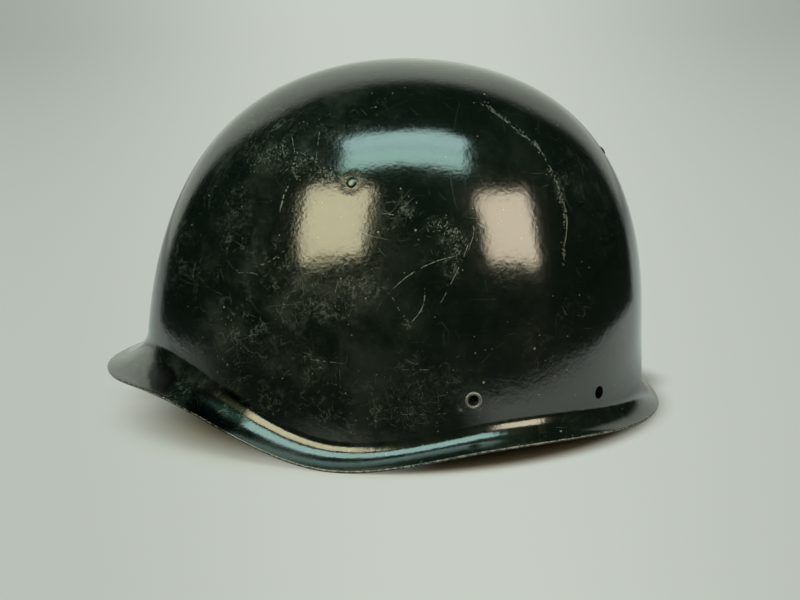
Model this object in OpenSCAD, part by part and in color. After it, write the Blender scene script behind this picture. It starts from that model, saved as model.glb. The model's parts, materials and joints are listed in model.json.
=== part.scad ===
// Service helmet: a pressed steel shell with a flared brim, a riveted hoop liner and a two-part chin strap.
// The visor points along -Y, the wearer's left is +X, and the side lobes of the brim stand on z = 0.

/* [Shell] */
// Thickness of the steel sheet
sheet = 1.3; // [0.9:0.1:1.8]
// Height of the crown above the table
crown_height = 177.5; // [170:0.5:190]
// Half width of the wall
wall_half_width = 106.6; // [104:0.1:112]
// Wall from its centre to the front
wall_front = 127.6; // [124:0.1:134]
// Wall from its centre to the rear
wall_rear = 125.7; // [122:0.1:132]
// How much narrower the plan is at the front than at the rear
plan_egg = 0.135; // [0.08:0.005:0.16]
// How much of its width the plan gives up towards both ends
plan_point = 0.062; // [0.03:0.002:0.08]
// Fullness of the shoulders of the dome, 0 for an ellipse
shoulder = 0.092; // [0:0.002:0.14]
// Height where the wall turns upright, at the sides
equator_height = 30.4; // [26:0.2:36]
// How much lower it turns upright at the front
equator_tilt = 24.9; // [15:0.1:26]
// Rearward shift of the crown
crown_lean = 3.4; // [0:0.1:8]

/* [Brim] */
// Depth of the visor in front of the wall
visor_depth = 20; // [14:0.5:26]
// Width of the brim at the sides
side_brim = 11.9; // [8:0.1:14]
// Width of the brim at the nape
nape_brim = 8.7; // [6:0.1:12]
// How sharply the visor narrows towards the temples
visor_focus = 4; // [2:1:6]
// Height of the visor's rim above the lobes
visor_rise = 25.5; // [18:0.5:30]
// Height of the rim above the lobes behind the ears
ear_rise = 9.5; // [5:0.5:12]
// Height of the hollow curve between wall and visor
visor_fillet = 17; // [12:0.5:20]
// Height of the hollow curve at the sides
side_fillet = 10; // [7:0.5:13]
// Height of the hollow curve at the nape
nape_fillet = 11; // [8:0.5:14]
// How far the hollow curve turns from the wall towards level
fillet_turn = 70; // [55:1:80]

/* [Shell fittings] */
// Azimuth of the side liner rivets, 0 at the visor
liner_rivet_azimuth = 79.5; // [72:0.5:88]
// Height of the three liner rivets
liner_rivet_height = 129.5; // [122:0.5:134]
// Diameter of a liner rivet's head
liner_rivet_head = 5; // [4:0.1:7]
// Height of a liner rivet's head
liner_rivet_crown = 0.7; // [0.5:0.1:1.5]
// Azimuth of the lower eyelets
eyelet_azimuth = 106.5; // [100:0.5:112]
// Height of the lower eyelets
eyelet_height = 31; // [28:0.5:36]
// Flange diameter of an eyelet
eyelet_flange = 8.2; // [7.4:0.1:9.5]
// Clear diameter of an eyelet
eyelet_bore = 5.3; // [4:0.1:5.6]
// Azimuth of the plain holes near the nape
nape_hole_azimuth = 140.5; // [134:0.5:146]
// Height of the plain holes
nape_hole_height = 24; // [22:0.5:30]
// Diameter of the plain holes
nape_hole_bore = 6.2; // [4:0.1:7]

/* [Liner] */
// Half width of the steel hoop
hoop_half_width = 87; // [84:0.5:89]
// Half length of the steel hoop
hoop_half_length = 107; // [103:0.5:109]
// Radius of the hoop's ends
hoop_end_radius = 72; // [66:1:78]
// Place of the hoop's centre along the helmet
hoop_y = 9; // [7:0.5:11]
// Height of the hoop's lower edge above the table
hoop_base = 46; // [44:0.5:50]
// Height of the hoop's strip
hoop_strip = 20; // [19:0.5:24]
// Thickness of the hoop
hoop_sheet = 1; // [0.8:0.1:1.4]
// Width of a hanger strip
hanger_width = 16; // [13:0.5:18]
// Thickness of a hanger strip
hanger_sheet = 1; // [0.8:0.1:1.4]
// Diameter of the small rivets' shanks
small_shank = 2.9; // [2.4:0.1:3.2]
// Diameter of the small rivets' heads
small_head = 5.2; // [4.4:0.1:6]
// Thickness of the felt behind the sweatband
felt = 5; // [3:0.5:6]
// Thickness of the liner leather
leather = 1.6; // [1.2:0.1:2]
// Height of the sweatband
sweatband_width = 32; // [28:0.5:36]
// Height of the leather turned up outside the hoop
turn_up = 7; // [4:0.5:9]
// Number of tongues
tongues = 8; // [6:1:9]
// Share of its pitch that a tongue covers
tongue_share = 0.9; // [0.7:0.01:0.94]
// Rise of the tongues from the sweatband to the crown
tongue_rise = 75; // [66:0.5:80]
// Diameter of the crown patch
crown_patch_width = 54; // [48:1:64]

/* [Chin strap] */
// Width of the bail plates
bail_width = 14; // [12:0.5:15]
// Thickness of the bail plates
bail_sheet = 1.2; // [1:0.1:1.4]
// Drop of the bail's eye below the hoop
bail_drop = 7; // [6:0.5:8]
// Wire diameter of the strap rings
ring_wire = 2.6; // [2:0.1:3]
// Drop of a strap ring, bar to bar
ring_drop = 12; // [11:0.5:13]
// Width of the straps
strap_width = 16; // [14:0.5:17]
// Thickness of the straps
strap_sheet = 2; // [1.5:0.1:2.2]
// Length of the short strap along the table
short_strap = 74; // [64:1:78]
// Length of the long strap's lower run, along the table
long_strap = 125; // [112:1:128]
// Length of its upper run, folded back over the lower one
long_return = 105; // [90:1:110]
// Radius of that fold, at mid-thickness
long_turn = 4.5; // [4:0.25:5]
// Sideways heading of the long strap
long_heading = 20; // [16:0.5:24]
// Radius of the straps' bend, at mid-thickness
strap_bend = 8; // [6:0.5:9]
// Length of a folded end
strap_fold = 12; // [10:0.5:14]
// Wire diameter of the buckle
buckle_wire = 2.8; // [2.4:0.1:3]
// Length of the buckle, bar to bar
buckle_length = 17; // [15:0.5:20]
// Outer diameter of the buckle's roller
roller_width = 4.6; // [4.2:0.1:5]
// Diameter of the prong
prong_wire = 2.2; // [1.8:0.1:2.6]
// Width of the keeper
keeper_width = 8; // [6:0.5:10]
// Thickness of the keeper's leather
keeper_sheet = 1.2; // [0.9:0.1:1.4]
// Spacing of the holes in the long strap
hole_pitch = 12; // [9:0.5:14]
// Number of holes in the long strap
strap_holes = 5; // [3:1:7]

/* [Hidden] */
azimuths = 72;
dome_rows = 18;
fillet_rows = 7;
$fn = 48;
fit_gap = 0.05;
seat_gap = 0.25;
pin_gap = 0.3;
overlap = 0.01;
head_height = 1;
tail_height = 0.8;
washer_sheet = 0.8;
control_step = 15;
control_last = 12;

steel_black = [0.07, 0.08, 0.07];
steel_grey = [0.55, 0.56, 0.55];
zinc = [0.68, 0.69, 0.68];
felt_grey = [0.42, 0.44, 0.38];
tan_leather = [0.50, 0.32, 0.18];
strap_leather = [0.26, 0.15, 0.09];
brass = [0.66, 0.55, 0.30];

visor_shares = [1.01, 0.975, 1.06, 0.845, 0.345];
lobe_controls = [-2.1, 1.7];
ear_shares = [0.93, 1.03, 0.79, 0.37, 0.215];
nape_control = -0.5;
rim_controls = concat(
    [for (share = visor_shares) share * visor_rise],
    lobe_controls,
    [for (share = ear_shares) share * ear_rise],
    [nape_control]);

tail_share = 0.85;
hanger_gap = 0.7;
washer_seat = 0.2;
liner_grip = sheet + hanger_gap + hanger_sheet + washer_seat + washer_sheet;
hoop_top = hoop_base + hoop_strip;
hoop_corner_y = hoop_half_length - hoop_end_radius;
hoop_side_shift = (pow(hoop_corner_y, 2) - pow(hoop_half_width - hoop_end_radius, 2))
    / (2 * (hoop_half_width - hoop_end_radius));
hoop_side_radius = hoop_half_width + hoop_side_shift;
hoop_turn = atan2(hoop_corner_y, hoop_side_shift);
felt_face = -hoop_sheet - seat_gap;
leather_face = felt_face - felt - seat_gap;
sweatband_base = hoop_base - leather - seat_gap;
sweatband_top = sweatband_base + sweatband_width;
bail_eye = ring_wire / 2 + pin_gap;
bail_x = hoop_half_width + bail_eye + bail_sheet;
bail_z = hoop_base - bail_drop;
ring_inner = strap_width + 2;
ring_low_z = bail_z - ring_drop;
fold_eye = ring_wire / 2 + pin_gap;
keeper_gap = 0.25;
table_gap = 0.3;
short_z = table_gap + keeper_sheet + keeper_gap + strap_sheet / 2;
long_z = table_gap + strap_sheet / 2;
buckle_eye = buckle_wire / 2 + 0.2;
buckle_z = short_z + strap_sheet / 2;
bend_x = bail_x - strap_sheet / 2 - strap_bend;
buckle_x = bend_x - short_strap;
roller_z = roller_width / 2 + 0.2;
buckle_slope = asin((buckle_z - roller_z) / buckle_length);
roller_x = buckle_x - buckle_length * cos(buckle_slope);
slot_width = 4.8;
slot_rear = buckle_eye + strap_sheet + 1.6;
fastener_pitch = 7.6;

function unit(v) = v / norm(v);
function sum(v, i = 0) = i < len(v) ? v[i] + sum(v, i + 1) : 0;

// Height of the brim's upper edge over its lowest point, as a smooth curve through evenly spaced controls
function rim_control(k) = rim_controls[abs(k) > control_last ? 2 * control_last - abs(k) : abs(k)];
function curve_weights(x) = [
    pow(1 - x, 3), 3 * pow(x, 3) - 6 * pow(x, 2) + 4, -3 * pow(x, 3) + 3 * pow(x, 2) + 3 * x + 1, pow(x, 3)
] / 6;
function rim_rise(a) =
    let (
        away = abs((a + 180) % 360 - 180) / control_step,
        first = min(floor(away), control_last - 1),
        weights = curve_weights(away - first)
    )
    sum([for (k = [0:3]) weights[k] * rim_control(first + k - 1)]);

// The wall's centre, placed so that the brim reaches as far forwards as back
front_share = dome_share(angle_at(0, rim_rise(0) + sheet));
wall_y = ((wall_front + crown_lean) * front_share - crown_lean + visor_depth - wall_rear - nape_brim) / 2;

// Outline of the wall seen from above, and the direction that it faces
function plan(a) =
    let (
        width = wall_half_width * (1 - plan_egg * cos(a) - plan_point * pow(cos(a), 2)),
        depth = (wall_front + wall_rear) / 2 + (wall_front - wall_rear) / 2 * cos(a)
    )
    [width * sin(a), wall_y - depth * cos(a)];
function plan_normal(a) = let (d = plan(a + 0.5) - plan(a - 0.5)) unit([d.y, -d.x]);

// A value that changes smoothly from the front to the side and on to the rear
function around(a, front, side, rear, focus) =
    cos(a) > 0 ? side + (front - side) * pow(cos(a), focus) : side + (rear - side) * pow(cos(a), 2);

// The dome without its brim: angle 90 is the crown, 0 the height where the wall turns upright
function equator(a) = equator_height - equator_tilt * cos(a);
function dome_share(u) = u > 0 ? cos(u) * (1 + shoulder * pow(sin(u), 2)) : 1;
function level(u) = u > 0 ? sin(u) * (1 + shoulder * pow(cos(u), 2)) : (1 + shoulder) * u * PI / 180;
function level_slope(u) = cos(u) * (1 + shoulder * (pow(cos(u), 2) - 2 * pow(sin(u), 2))) * PI / 180;
function dome_angle(h, u, turns = 5) =
    h <= 0 ? h / (1 + shoulder) * 180 / PI
    : turns == 0 ? u
    : dome_angle(h, u - (level(u) - h) / level_slope(u), turns - 1);
function dome_point(a, u) =
    let (
        share = dome_share(u),
        wall = plan(a),
        base = equator(a)
    )
    [
        wall.x * share,
        wall.y * share + (wall_y + crown_lean) * (1 - share),
        base + (crown_height - base) * level(u)
    ];
function angle_at(a, z) =
    let (h = (z - equator(a)) / (crown_height - equator(a))) dome_angle(h, asin(max(min(h, 1), 0)) * 0.95);
function on_dome(a, z) = dome_point(a, angle_at(a, z));
function dome_normal(a, z) =
    unit(cross(on_dome(a + 0.5, z) - on_dome(a - 0.5, z), on_dome(a, z + 0.5) - on_dome(a, z - 0.5)));

// One row of the outer surface: rows of the dome first, then rows of the hollow curve down to the rim
function brim_width(a) = around(a, visor_depth, side_brim, nape_brim, visor_focus);
function fillet_height(a) = around(a, visor_fillet, side_fillet, nape_fillet, 1.5);
function surface_point(a, row, lift) =
    let (
        rim = rim_rise(a) + lift,
        drop = fillet_height(a),
        top = rim + drop,
        turn = max(row - dome_rows, 0) / fillet_rows * fillet_turn,
        z = top - drop * sin(turn) / sin(fillet_turn),
        reach = brim_width(a) * (1 - cos(turn)) / (1 - cos(fillet_turn)),
        low = angle_at(a, top),
        u = row <= dome_rows ? 90 - (90 - low) * row / dome_rows : angle_at(a, z),
        face = plan_normal(a)
    )
    dome_point(a, u) + reach * [face.x, face.y, 0];
function surface_row(row, lift) = [for (j = [0:azimuths - 1]) surface_point(j * 360 / azimuths, row, lift)];

last_row = dome_rows + fillet_rows;
function facing(upper, here, lower, j) =
    unit(cross(here[(j + 1) % azimuths] - here[(j + azimuths - 1) % azimuths], upper[j] - lower[j]));
function inner_row(upper, here, lower) =
    [for (j = [0:azimuths - 1]) here[j] - sheet * facing(upper, here, lower, j)];
function underside(lift) =
    inner_row(surface_row(last_row - 1, lift), surface_row(last_row, lift), surface_row(last_row, lift));
rim_lift = -min([for (p = underside(0)) p.z]);

outer_rows = [for (i = [1:last_row]) surface_row(i, rim_lift)];
crown = [0, wall_y + crown_lean, crown_height];
crown_ring = [for (j = [0:azimuths - 1]) crown];
inner_rows = [
    for (i = [0:last_row - 1])
        inner_row(i == 0 ? crown_ring : outer_rows[i - 1], outer_rows[i],
            i == last_row - 1 ? outer_rows[i] : outer_rows[i + 1])
];

// A closed cap with two skins: each has a tip, then rows of points from the tip down to the open edge
function skin_index(skin, row, j, rows, columns) =
    skin * (rows * columns + 1) + 1 + row * columns + j % columns;
module two_skins(outer_tip, outer, inner_tip, inner) {
    rows = len(outer);
    columns = len(outer[0]);
    steps = [0:columns - 1];
    points = concat([outer_tip], [for (r = outer) each r], [inner_tip], [for (r = inner) each r]);
    function at(skin, row, j) = skin_index(skin, row, j, rows, columns);
    caps = [
        for (j = steps)
            each [[0, at(0, 0, j + 1), at(0, 0, j)], [rows * columns + 1, at(1, 0, j), at(1, 0, j + 1)]]
    ];
    outside = [
        for (i = [0:rows - 2], j = steps)
            each [
                [at(0, i, j), at(0, i, j + 1), at(0, i + 1, j + 1)],
                [at(0, i, j), at(0, i + 1, j + 1), at(0, i + 1, j)]
            ]
    ];
    inside = [
        for (i = [0:rows - 2], j = steps)
            each [
                [at(1, i, j), at(1, i + 1, j + 1), at(1, i, j + 1)],
                [at(1, i, j), at(1, i + 1, j), at(1, i + 1, j + 1)]
            ]
    ];
    edge = [
        for (j = steps)
            each [
                [at(0, rows - 1, j), at(0, rows - 1, j + 1), at(1, rows - 1, j + 1)],
                [at(0, rows - 1, j), at(1, rows - 1, j + 1), at(1, rows - 1, j)]
            ]
    ];
    polyhedron(points, concat(caps, outside, inside, edge));
}

// Puts children on the outer surface, with their +Z along the way that it faces
module on_shell(a, z) {
    face = dome_normal(a, z);
    translate(on_dome(a, z)) rotate([0, acos(face.z), atan2(face.y, face.x)]) children();
}
module drill(diameter, depth) translate([0, 0, -depth]) cylinder(d = diameter, h = 2 * depth);

// A low domed head standing on z = 0
module rivet_head(diameter, height) {
    radius = (pow(diameter / 2, 2) + pow(height, 2)) / (2 * height);
    intersection() {
        translate([0, 0, height - radius]) sphere(radius);
        cylinder(d = diameter, h = height);
    }
}
// A closed rivet: a domed head on z = 0, a shank through the grip and a flat head below it
module rivet(shank, head, height, grip) {
    rivet_head(head, height);
    translate([0, 0, -grip - tail_height]) cylinder(d = head * tail_share, h = tail_height);
    translate([0, 0, -grip - tail_height / 2]) cylinder(d = shank, h = grip + tail_height / 2 + height / 2);
}
liner_shank = liner_rivet_head * 0.6;
module liner_rivet(a) on_shell(a, liner_rivet_height)
    rivet(liner_shank, liner_rivet_head, liner_rivet_crown, liner_grip);

liner_rivet_places = [liner_rivet_azimuth, 360 - liner_rivet_azimuth, 180];

module shell() color(steel_black) difference() {
    two_skins(crown, outer_rows, crown - [0, 0, sheet], inner_rows);
    for (a = liner_rivet_places) on_shell(a, liner_rivet_height) drill(liner_shank + 2 * fit_gap, 4 * sheet);
    for (a = [eyelet_azimuth, 360 - eyelet_azimuth])
        on_shell(a, eyelet_height) drill(eyelet_barrel + 2 * fit_gap, 4 * sheet);
    for (a = [nape_hole_azimuth, 360 - nape_hole_azimuth])
        on_shell(a, nape_hole_height) drill(nape_hole_bore, 4 * sheet);
}

module rivet_washers() color(zinc) for (a = liner_rivet_places) on_shell(a, liner_rivet_height)
    translate([0, 0, -liner_grip]) difference() {
        cylinder(d = liner_rivet_head * 1.8, h = washer_sheet - fit_gap);
        drill(liner_shank + 2 * fit_gap, 2 * washer_sheet);
    }

// A hollow eyelet: a rolled flange outside, a barrel through the sheet and a flared lip inside
eyelet_wall = 0.4;
eyelet_barrel = eyelet_bore + 2 * eyelet_wall;
eyelet_roll = (eyelet_flange - eyelet_bore) / 4;
eyelet_lip = 0.6;
lip_seat = 0.2;
eyelet_base = -sheet - eyelet_lip;
module eyelet(a) color(steel_grey) on_shell(a, eyelet_height) rotate_extrude() {
    intersection() {
        translate([eyelet_bore / 2 + eyelet_roll, 0]) circle(eyelet_roll);
        translate([0, 0]) square([eyelet_flange, eyelet_roll]);
    }
    translate([eyelet_bore / 2, eyelet_base]) square([eyelet_wall, eyelet_roll / 2 - eyelet_base]);
    translate([eyelet_bore / 2, eyelet_base - fit_gap]) square([2 * eyelet_roll, eyelet_lip - lip_seat]);
}

// The oval of the hoop: two wide side arcs and two end arcs that meet them smoothly
module oval(grow) {
    edge_y = hoop_corner_y + (hoop_end_radius + grow) * sin(hoop_turn);
    intersection() {
        for_side = hoop_side_radius + grow;
        intersection() {
            translate([-hoop_side_shift, 0]) circle(for_side, $fn = 96);
            translate([hoop_side_shift, 0]) circle(for_side, $fn = 96);
        }
        square([4 * hoop_half_width, 2 * edge_y], center = true);
    }
    for (side = [-1, 1]) translate([0, side * hoop_corner_y]) circle(hoop_end_radius + grow, $fn = 96);
}
module oval_ring(outer, inner, base, height) translate([0, hoop_y, base])
    linear_extrude(height) difference() {
    oval(outer);
    oval(inner);
}
// A point on that oval where it faces the given direction, and the direction at a share of its length
function oval_point(phi, grow) =
    let (
        side = cos(phi) < 0 ? -1 : 1,
        end = sin(phi) < 0 ? -1 : 1,
        face = [cos(phi), sin(phi)],
        on_side = abs(sin(phi)) < sin(hoop_turn),
        centre = on_side ? [-side * hoop_side_shift, 0] : [0, end * hoop_corner_y]
    )
    centre + ((on_side ? hoop_side_radius : hoop_end_radius) + grow) * face + [0, hoop_y];
oval_side_run = hoop_side_radius * hoop_turn;
oval_quarter = oval_side_run + hoop_end_radius * (90 - hoop_turn);
function quarter_turn(run) =
    run < oval_side_run ? run / hoop_side_radius : hoop_turn + (run - oval_side_run) / hoop_end_radius;
function oval_turn(share) =
    let (s = (share + 1) % 1)
    s < 0.25 ? quarter_turn(4 * s * oval_quarter)
    : s < 0.5 ? 180 - quarter_turn((2 - 4 * s) * oval_quarter)
    : s < 0.75 ? 180 + quarter_turn((4 * s - 2) * oval_quarter)
    : 360 - quarter_turn((4 - 4 * s) * oval_quarter);

// The hangers: each follows the shell below its rivet, then runs down the outside of the hoop
hanger_depth = sheet + hanger_gap + hanger_sheet / 2;
hanger_top = 7;
hanger_follow = 12;
follow_steps = 4;
curve_steps = 6;
hanger_foot_z = hoop_top - (hoop_strip - turn_up) + 1;
function hanger_upper(a) = [
    for (i = [0:follow_steps])
        let (z = liner_rivet_height + hanger_top - i * (hanger_top + hanger_follow) / follow_steps)
        on_dome(a, z) - hanger_depth * dome_normal(a, z)
];
function hanger_turn(a) =
    a == 180 ? 90 : asin((hanger_upper(a)[follow_steps].y - hoop_y) / hoop_side_radius);
function hanger_path(a) =
    let (
        upper = hanger_upper(a),
        foot = oval_point(hanger_turn(a), hanger_sheet / 2 + fit_gap),
        start = upper[follow_steps],
        lead = 0.9 * (start.z - hoop_top) * unit(start - upper[follow_steps - 1]),
        end = [foot.x, foot.y, hoop_top + 2],
        tail = [0, 0, -0.9 * (start.z - end.z)],
        middle = [
            for (i = [1:curve_steps])
                let (t = i / curve_steps, b = 1 - t)
                (1 + 2 * t) * b * b * start + t * b * b * lead + t * t * (3 - 2 * t) * end - t * t * b * tail
        ]
    )
    concat(upper, middle, [[foot.x, foot.y, hoop_top - 2], [foot.x, foot.y, hanger_foot_z]]);
function hanger_across(a) =
    let (
        count = len(hanger_path(a)),
        high = dome_normal(a, liner_rivet_height),
        first = unit([-high.y, high.x, 0]),
        phi = hanger_turn(a),
        last = [-sin(phi), cos(phi), 0]
    )
    [
        for (i = [0:count - 1])
            let (t = min(max(i - follow_steps, 0) / (count - 2 - follow_steps), 1))
            unit((1 - t) * first + t * last)
    ];

// A flat strip swept along a path; across gives the direction of its width at each point
module ribbon(path, across, half_widths, thickness) {
    count = len(path);
    along = [
        for (i = [0:count - 1]) unit(path[min(i + 1, count - 1)] - path[max(i - 1, 0)])
    ];
    points = [
        for (i = [0:count - 1])
            let (
                side = unit(across[i] - (across[i] * along[i]) * along[i]),
                face = cross(along[i], side)
            )
            each [
                for (corner = [[1, 1], [-1, 1], [-1, -1], [1, -1]])
                    path[i] + corner.x * half_widths[i] * side + corner.y * thickness / 2 * face
            ]
    ];
    sides = [
        for (i = [0:count - 2], k = [0:3])
            each [
                [4 * i + k, 4 * i + 4 + (k + 1) % 4, 4 * i + (k + 1) % 4],
                [4 * i + k, 4 * i + 4 + k, 4 * i + 4 + (k + 1) % 4]
            ]
    ];
    last = 4 * (count - 1);
    ends = [[0, 1, 2], [0, 2, 3], [last, last + 2, last + 1], [last, last + 3, last + 2]];
    polyhedron(points, concat(sides, ends));
}

// Puts children on the outside of the hoop, with their +Z outwards
module on_hoop(phi, z, grow = 0) {
    p = oval_point(phi, grow);
    translate([p.x, p.y, z]) rotate([0, 90, phi]) children();
}
hoop_rivet_z = (hanger_foot_z + hoop_top) / 2;
module hoop_rivet_places(phi, pitch) for (side = [-1, 1]) on_hoop(phi, hoop_rivet_z)
    translate([0, side * pitch / 2, 0]) children();
module hanger_foot_holes(a, diameter, depth)
    hoop_rivet_places(hanger_turn(a), fastener_pitch) drill(diameter, depth);
module side_bail_holes(diameter, depth) hoop_rivet_places(0, fastener_pitch) drill(diameter, depth);

module hanger(a) color(zinc) difference() {
    path = hanger_path(a);
    ribbon(path, hanger_across(a), [for (p = path) hanger_width / 2], hanger_sheet);
    on_shell(a, liner_rivet_height) drill(liner_shank + 2 * fit_gap, 3 * hanger_depth);
    hanger_foot_holes(a, small_shank + 2 * fit_gap, 4 * hanger_sheet);
}
module both_sides() {
    children();
    mirror([1, 0, 0]) children();
}
module liner_hoop() color(zinc) difference() {
    oval_ring(0, -hoop_sheet, hoop_base, hoop_strip);
    both_sides() {
        hanger_foot_holes(liner_rivet_azimuth, small_shank + 2 * fit_gap, 4 * hoop_sheet);
        side_bail_holes(small_shank + 2 * fit_gap, 4 * hoop_sheet);
    }
    hanger_foot_holes(180, small_shank + 2 * fit_gap, 4 * hoop_sheet);
}
// A pair of rivets stands upright on the middle of its pitch, so the hoop curves away from the flat tails
function tail_seat(radius) =
    fit_gap + pow(fastener_pitch / 2 + small_head * tail_share / 2, 2) / (2 * (radius - hoop_sheet));
module hoop_rivet(joined, radius) translate([0, 0, joined + fit_gap])
    rivet(small_shank, small_head, head_height, joined + hoop_sheet + tail_seat(radius));
module hoop_rivets() color(steel_grey) {
    both_sides() hoop_rivet_places(hanger_turn(liner_rivet_azimuth), fastener_pitch)
        hoop_rivet(hanger_sheet, hoop_side_radius);
    hoop_rivet_places(90, fastener_pitch) hoop_rivet(hanger_sheet, hoop_end_radius);
}
module bail_rivets() color(steel_grey) both_sides() hoop_rivet_places(0, fastener_pitch)
    hoop_rivet(bail_sheet, hoop_side_radius);

// The felt gives way where the rivets' tails press into it
tail_pocket = small_head + 0.6;
module felt_band() color(felt_grey) difference() {
    oval_ring(felt_face, felt_face - felt, hoop_base, hoop_strip - 2);
    both_sides() {
        hanger_foot_holes(liner_rivet_azimuth, tail_pocket, hoop_sheet + tail_height + 0.6);
        side_bail_holes(tail_pocket, hoop_sheet + tail_height + 0.6);
    }
    hanger_foot_holes(180, tail_pocket, hoop_sheet + tail_height + 0.6);
}
// The sweatband is folded outwards under the hoop and notched for the bails
notch_gap = 1;
notch_reach = 0.1;
module sweatband() color(tan_leather) difference() {
    union() {
        oval_ring(leather_face, leather_face - leather, sweatband_base, sweatband_width);
        oval_ring(seat_gap + leather, leather_face - leather / 2, sweatband_base, leather);
        oval_ring(seat_gap + leather, seat_gap, sweatband_base, leather + seat_gap + turn_up);
    }
    both_sides()
        translate([hoop_half_width - notch_reach, hoop_y - bail_width / 2 - notch_gap, sweatband_base - 1])
        cube([4 * leather, bail_width + 2 * notch_gap, turn_up + 4 * leather]);
}

// A leather tongue: a strip of the oval that climbs and closes in towards the crown
tongue_columns = 5;
tongue_rows = 8;
tongue_end = 80;
tongue_power = 0.9;
function tongue_point(k, column, row, grow) =
    let (
        rise = row / tongue_rows * tongue_end,
        closing = pow(cos(rise), tongue_power),
        narrowing = 1 - 0.3 * pow(row / tongue_rows, 2),
        share = (k + 0.5 + tongue_share * narrowing * (column / tongue_columns - 0.5)) / tongues,
        edge = oval_point(oval_turn(share), leather_face - leather / 2 + grow * cos(rise))
    )
    [
        edge.x * closing, hoop_y + (edge.y - hoop_y) * closing,
        sweatband_top + tongue_rise * pow(sin(rise), tongue_power) + grow * sin(rise)
    ];
tongue_side = (tongue_columns + 1) * (tongue_rows + 1);
function tongue_index(skin, i, j) = skin * tongue_side + i * (tongue_columns + 1) + j;
module tongue(k) color(tan_leather) {
    points = [
        for (grow = [leather / 2, -leather / 2], i = [0:tongue_rows], j = [0:tongue_columns])
            tongue_point(k, j, i, grow)
    ];
    skins = [
        for (i = [0:tongue_rows - 1], j = [0:tongue_columns - 1])
            each [
                [tongue_index(0, i, j), tongue_index(0, i + 1, j), tongue_index(0, i + 1, j + 1)],
                [tongue_index(0, i, j), tongue_index(0, i + 1, j + 1), tongue_index(0, i, j + 1)],
                [tongue_index(1, i, j), tongue_index(1, i + 1, j + 1), tongue_index(1, i + 1, j)],
                [tongue_index(1, i, j), tongue_index(1, i, j + 1), tongue_index(1, i + 1, j + 1)]
            ]
    ];
    flanks = [
        for (i = [0:tongue_rows - 1])
            each [
                [tongue_index(0, i, 0), tongue_index(1, i, 0), tongue_index(1, i + 1, 0)],
                [tongue_index(0, i, 0), tongue_index(1, i + 1, 0), tongue_index(0, i + 1, 0)],
                [tongue_index(0, i, tongue_columns), tongue_index(1, i + 1, tongue_columns),
                    tongue_index(1, i, tongue_columns)],
                [tongue_index(0, i, tongue_columns), tongue_index(0, i + 1, tongue_columns),
                    tongue_index(1, i + 1, tongue_columns)]
            ]
    ];
    ends = [
        for (j = [0:tongue_columns - 1])
            each [
                [tongue_index(0, 0, j), tongue_index(0, 0, j + 1), tongue_index(1, 0, j + 1)],
                [tongue_index(0, 0, j), tongue_index(1, 0, j + 1), tongue_index(1, 0, j)],
                [tongue_index(0, tongue_rows, j), tongue_index(1, tongue_rows, j + 1),
                    tongue_index(0, tongue_rows, j + 1)],
                [tongue_index(0, tongue_rows, j), tongue_index(1, tongue_rows, j),
                    tongue_index(1, tongue_rows, j + 1)]
            ]
    ];
    polyhedron(points, concat(skins, flanks, ends));
}
// The patch that the tongues are sewn to lies on their tips and has the same curve
patch_columns = 24;
patch_rings = 4;
patch_share = crown_patch_width / 2 / (hoop_half_width + leather_face);
function patch_point(j, i, lift) =
    let (
        closing = patch_share * i / patch_rings,
        rise = acos(pow(closing, 1 / tongue_power)),
        edge = oval_point(oval_turn(j / patch_columns), leather_face)
    )
    [
        edge.x * closing,
        hoop_y + (edge.y - hoop_y) * closing,
        sweatband_top + tongue_rise * pow(sin(rise), tongue_power) + leather / 2 + lift
    ];
function patch_rows(lift) = [
    for (i = [1:patch_rings]) [for (j = [0:patch_columns - 1]) patch_point(j, i, lift)]
];
module crown_patch() color(tan_leather) two_skins(
    patch_point(0, 0, seat_gap + leather), patch_rows(seat_gap + leather),
    patch_point(0, 0, seat_gap), patch_rows(seat_gap));

// A riveted plate on the hoop whose lower end is rolled into the ring's eye
module bail() color(steel_grey) difference() {
    translate([0, hoop_y + bail_width / 2, 0]) rotate([90, 0, 0]) linear_extrude(bail_width) difference() {
        union() {
            translate([bail_x, bail_z]) circle(bail_eye + bail_sheet);
            translate([hoop_half_width + fit_gap, bail_z]) square([bail_sheet, hoop_top - 1 - bail_z]);
        }
        translate([bail_x, bail_z]) circle(bail_eye);
    }
    side_bail_holes(small_shank + 2 * fit_gap, 4 * bail_sheet);
}

// A bent wire loop lying flat, with bars along Y at x = 0 and x = -length and with rounded corners
wire_corner = 2.5;
module wire_loop(length, width, diameter) {
    for (side = [-1, 1]) {
        translate([wire_corner - length, side * width / 2, 0]) rotate([0, 90, 0])
            cylinder(d = diameter, h = length - 2 * wire_corner);
        translate([side < 0 ? 0 : -length, width / 2 - wire_corner, 0]) rotate([90, 0, 0])
            cylinder(d = diameter, h = width - 2 * wire_corner);
        for (end = [0, 1])
            translate([end == 1 ? -wire_corner : wire_corner - length, side * (width / 2 - wire_corner), 0])
                rotate(end == 1 ? min(side, 0) * 90 : 135 - side * 45)
                    rotate_extrude(angle = 90) translate([wire_corner, 0]) circle(d = diameter);
    }
}
module ring() color(steel_grey) translate([bail_x, hoop_y, bail_z]) rotate([0, -90, 0])
    wire_loop(ring_drop, ring_inner + ring_wire, ring_wire);

// A strap end folded round a bar at the origin, with its two layers running down to -Y
module folded_end(eye, length) translate([0, 0, -strap_width / 2]) linear_extrude(strap_width) difference() {
    union() {
        circle(eye + strap_sheet);
        translate([-strap_sheet, -length]) square([2 * strap_sheet, length]);
    }
    circle(eye);
}
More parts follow.
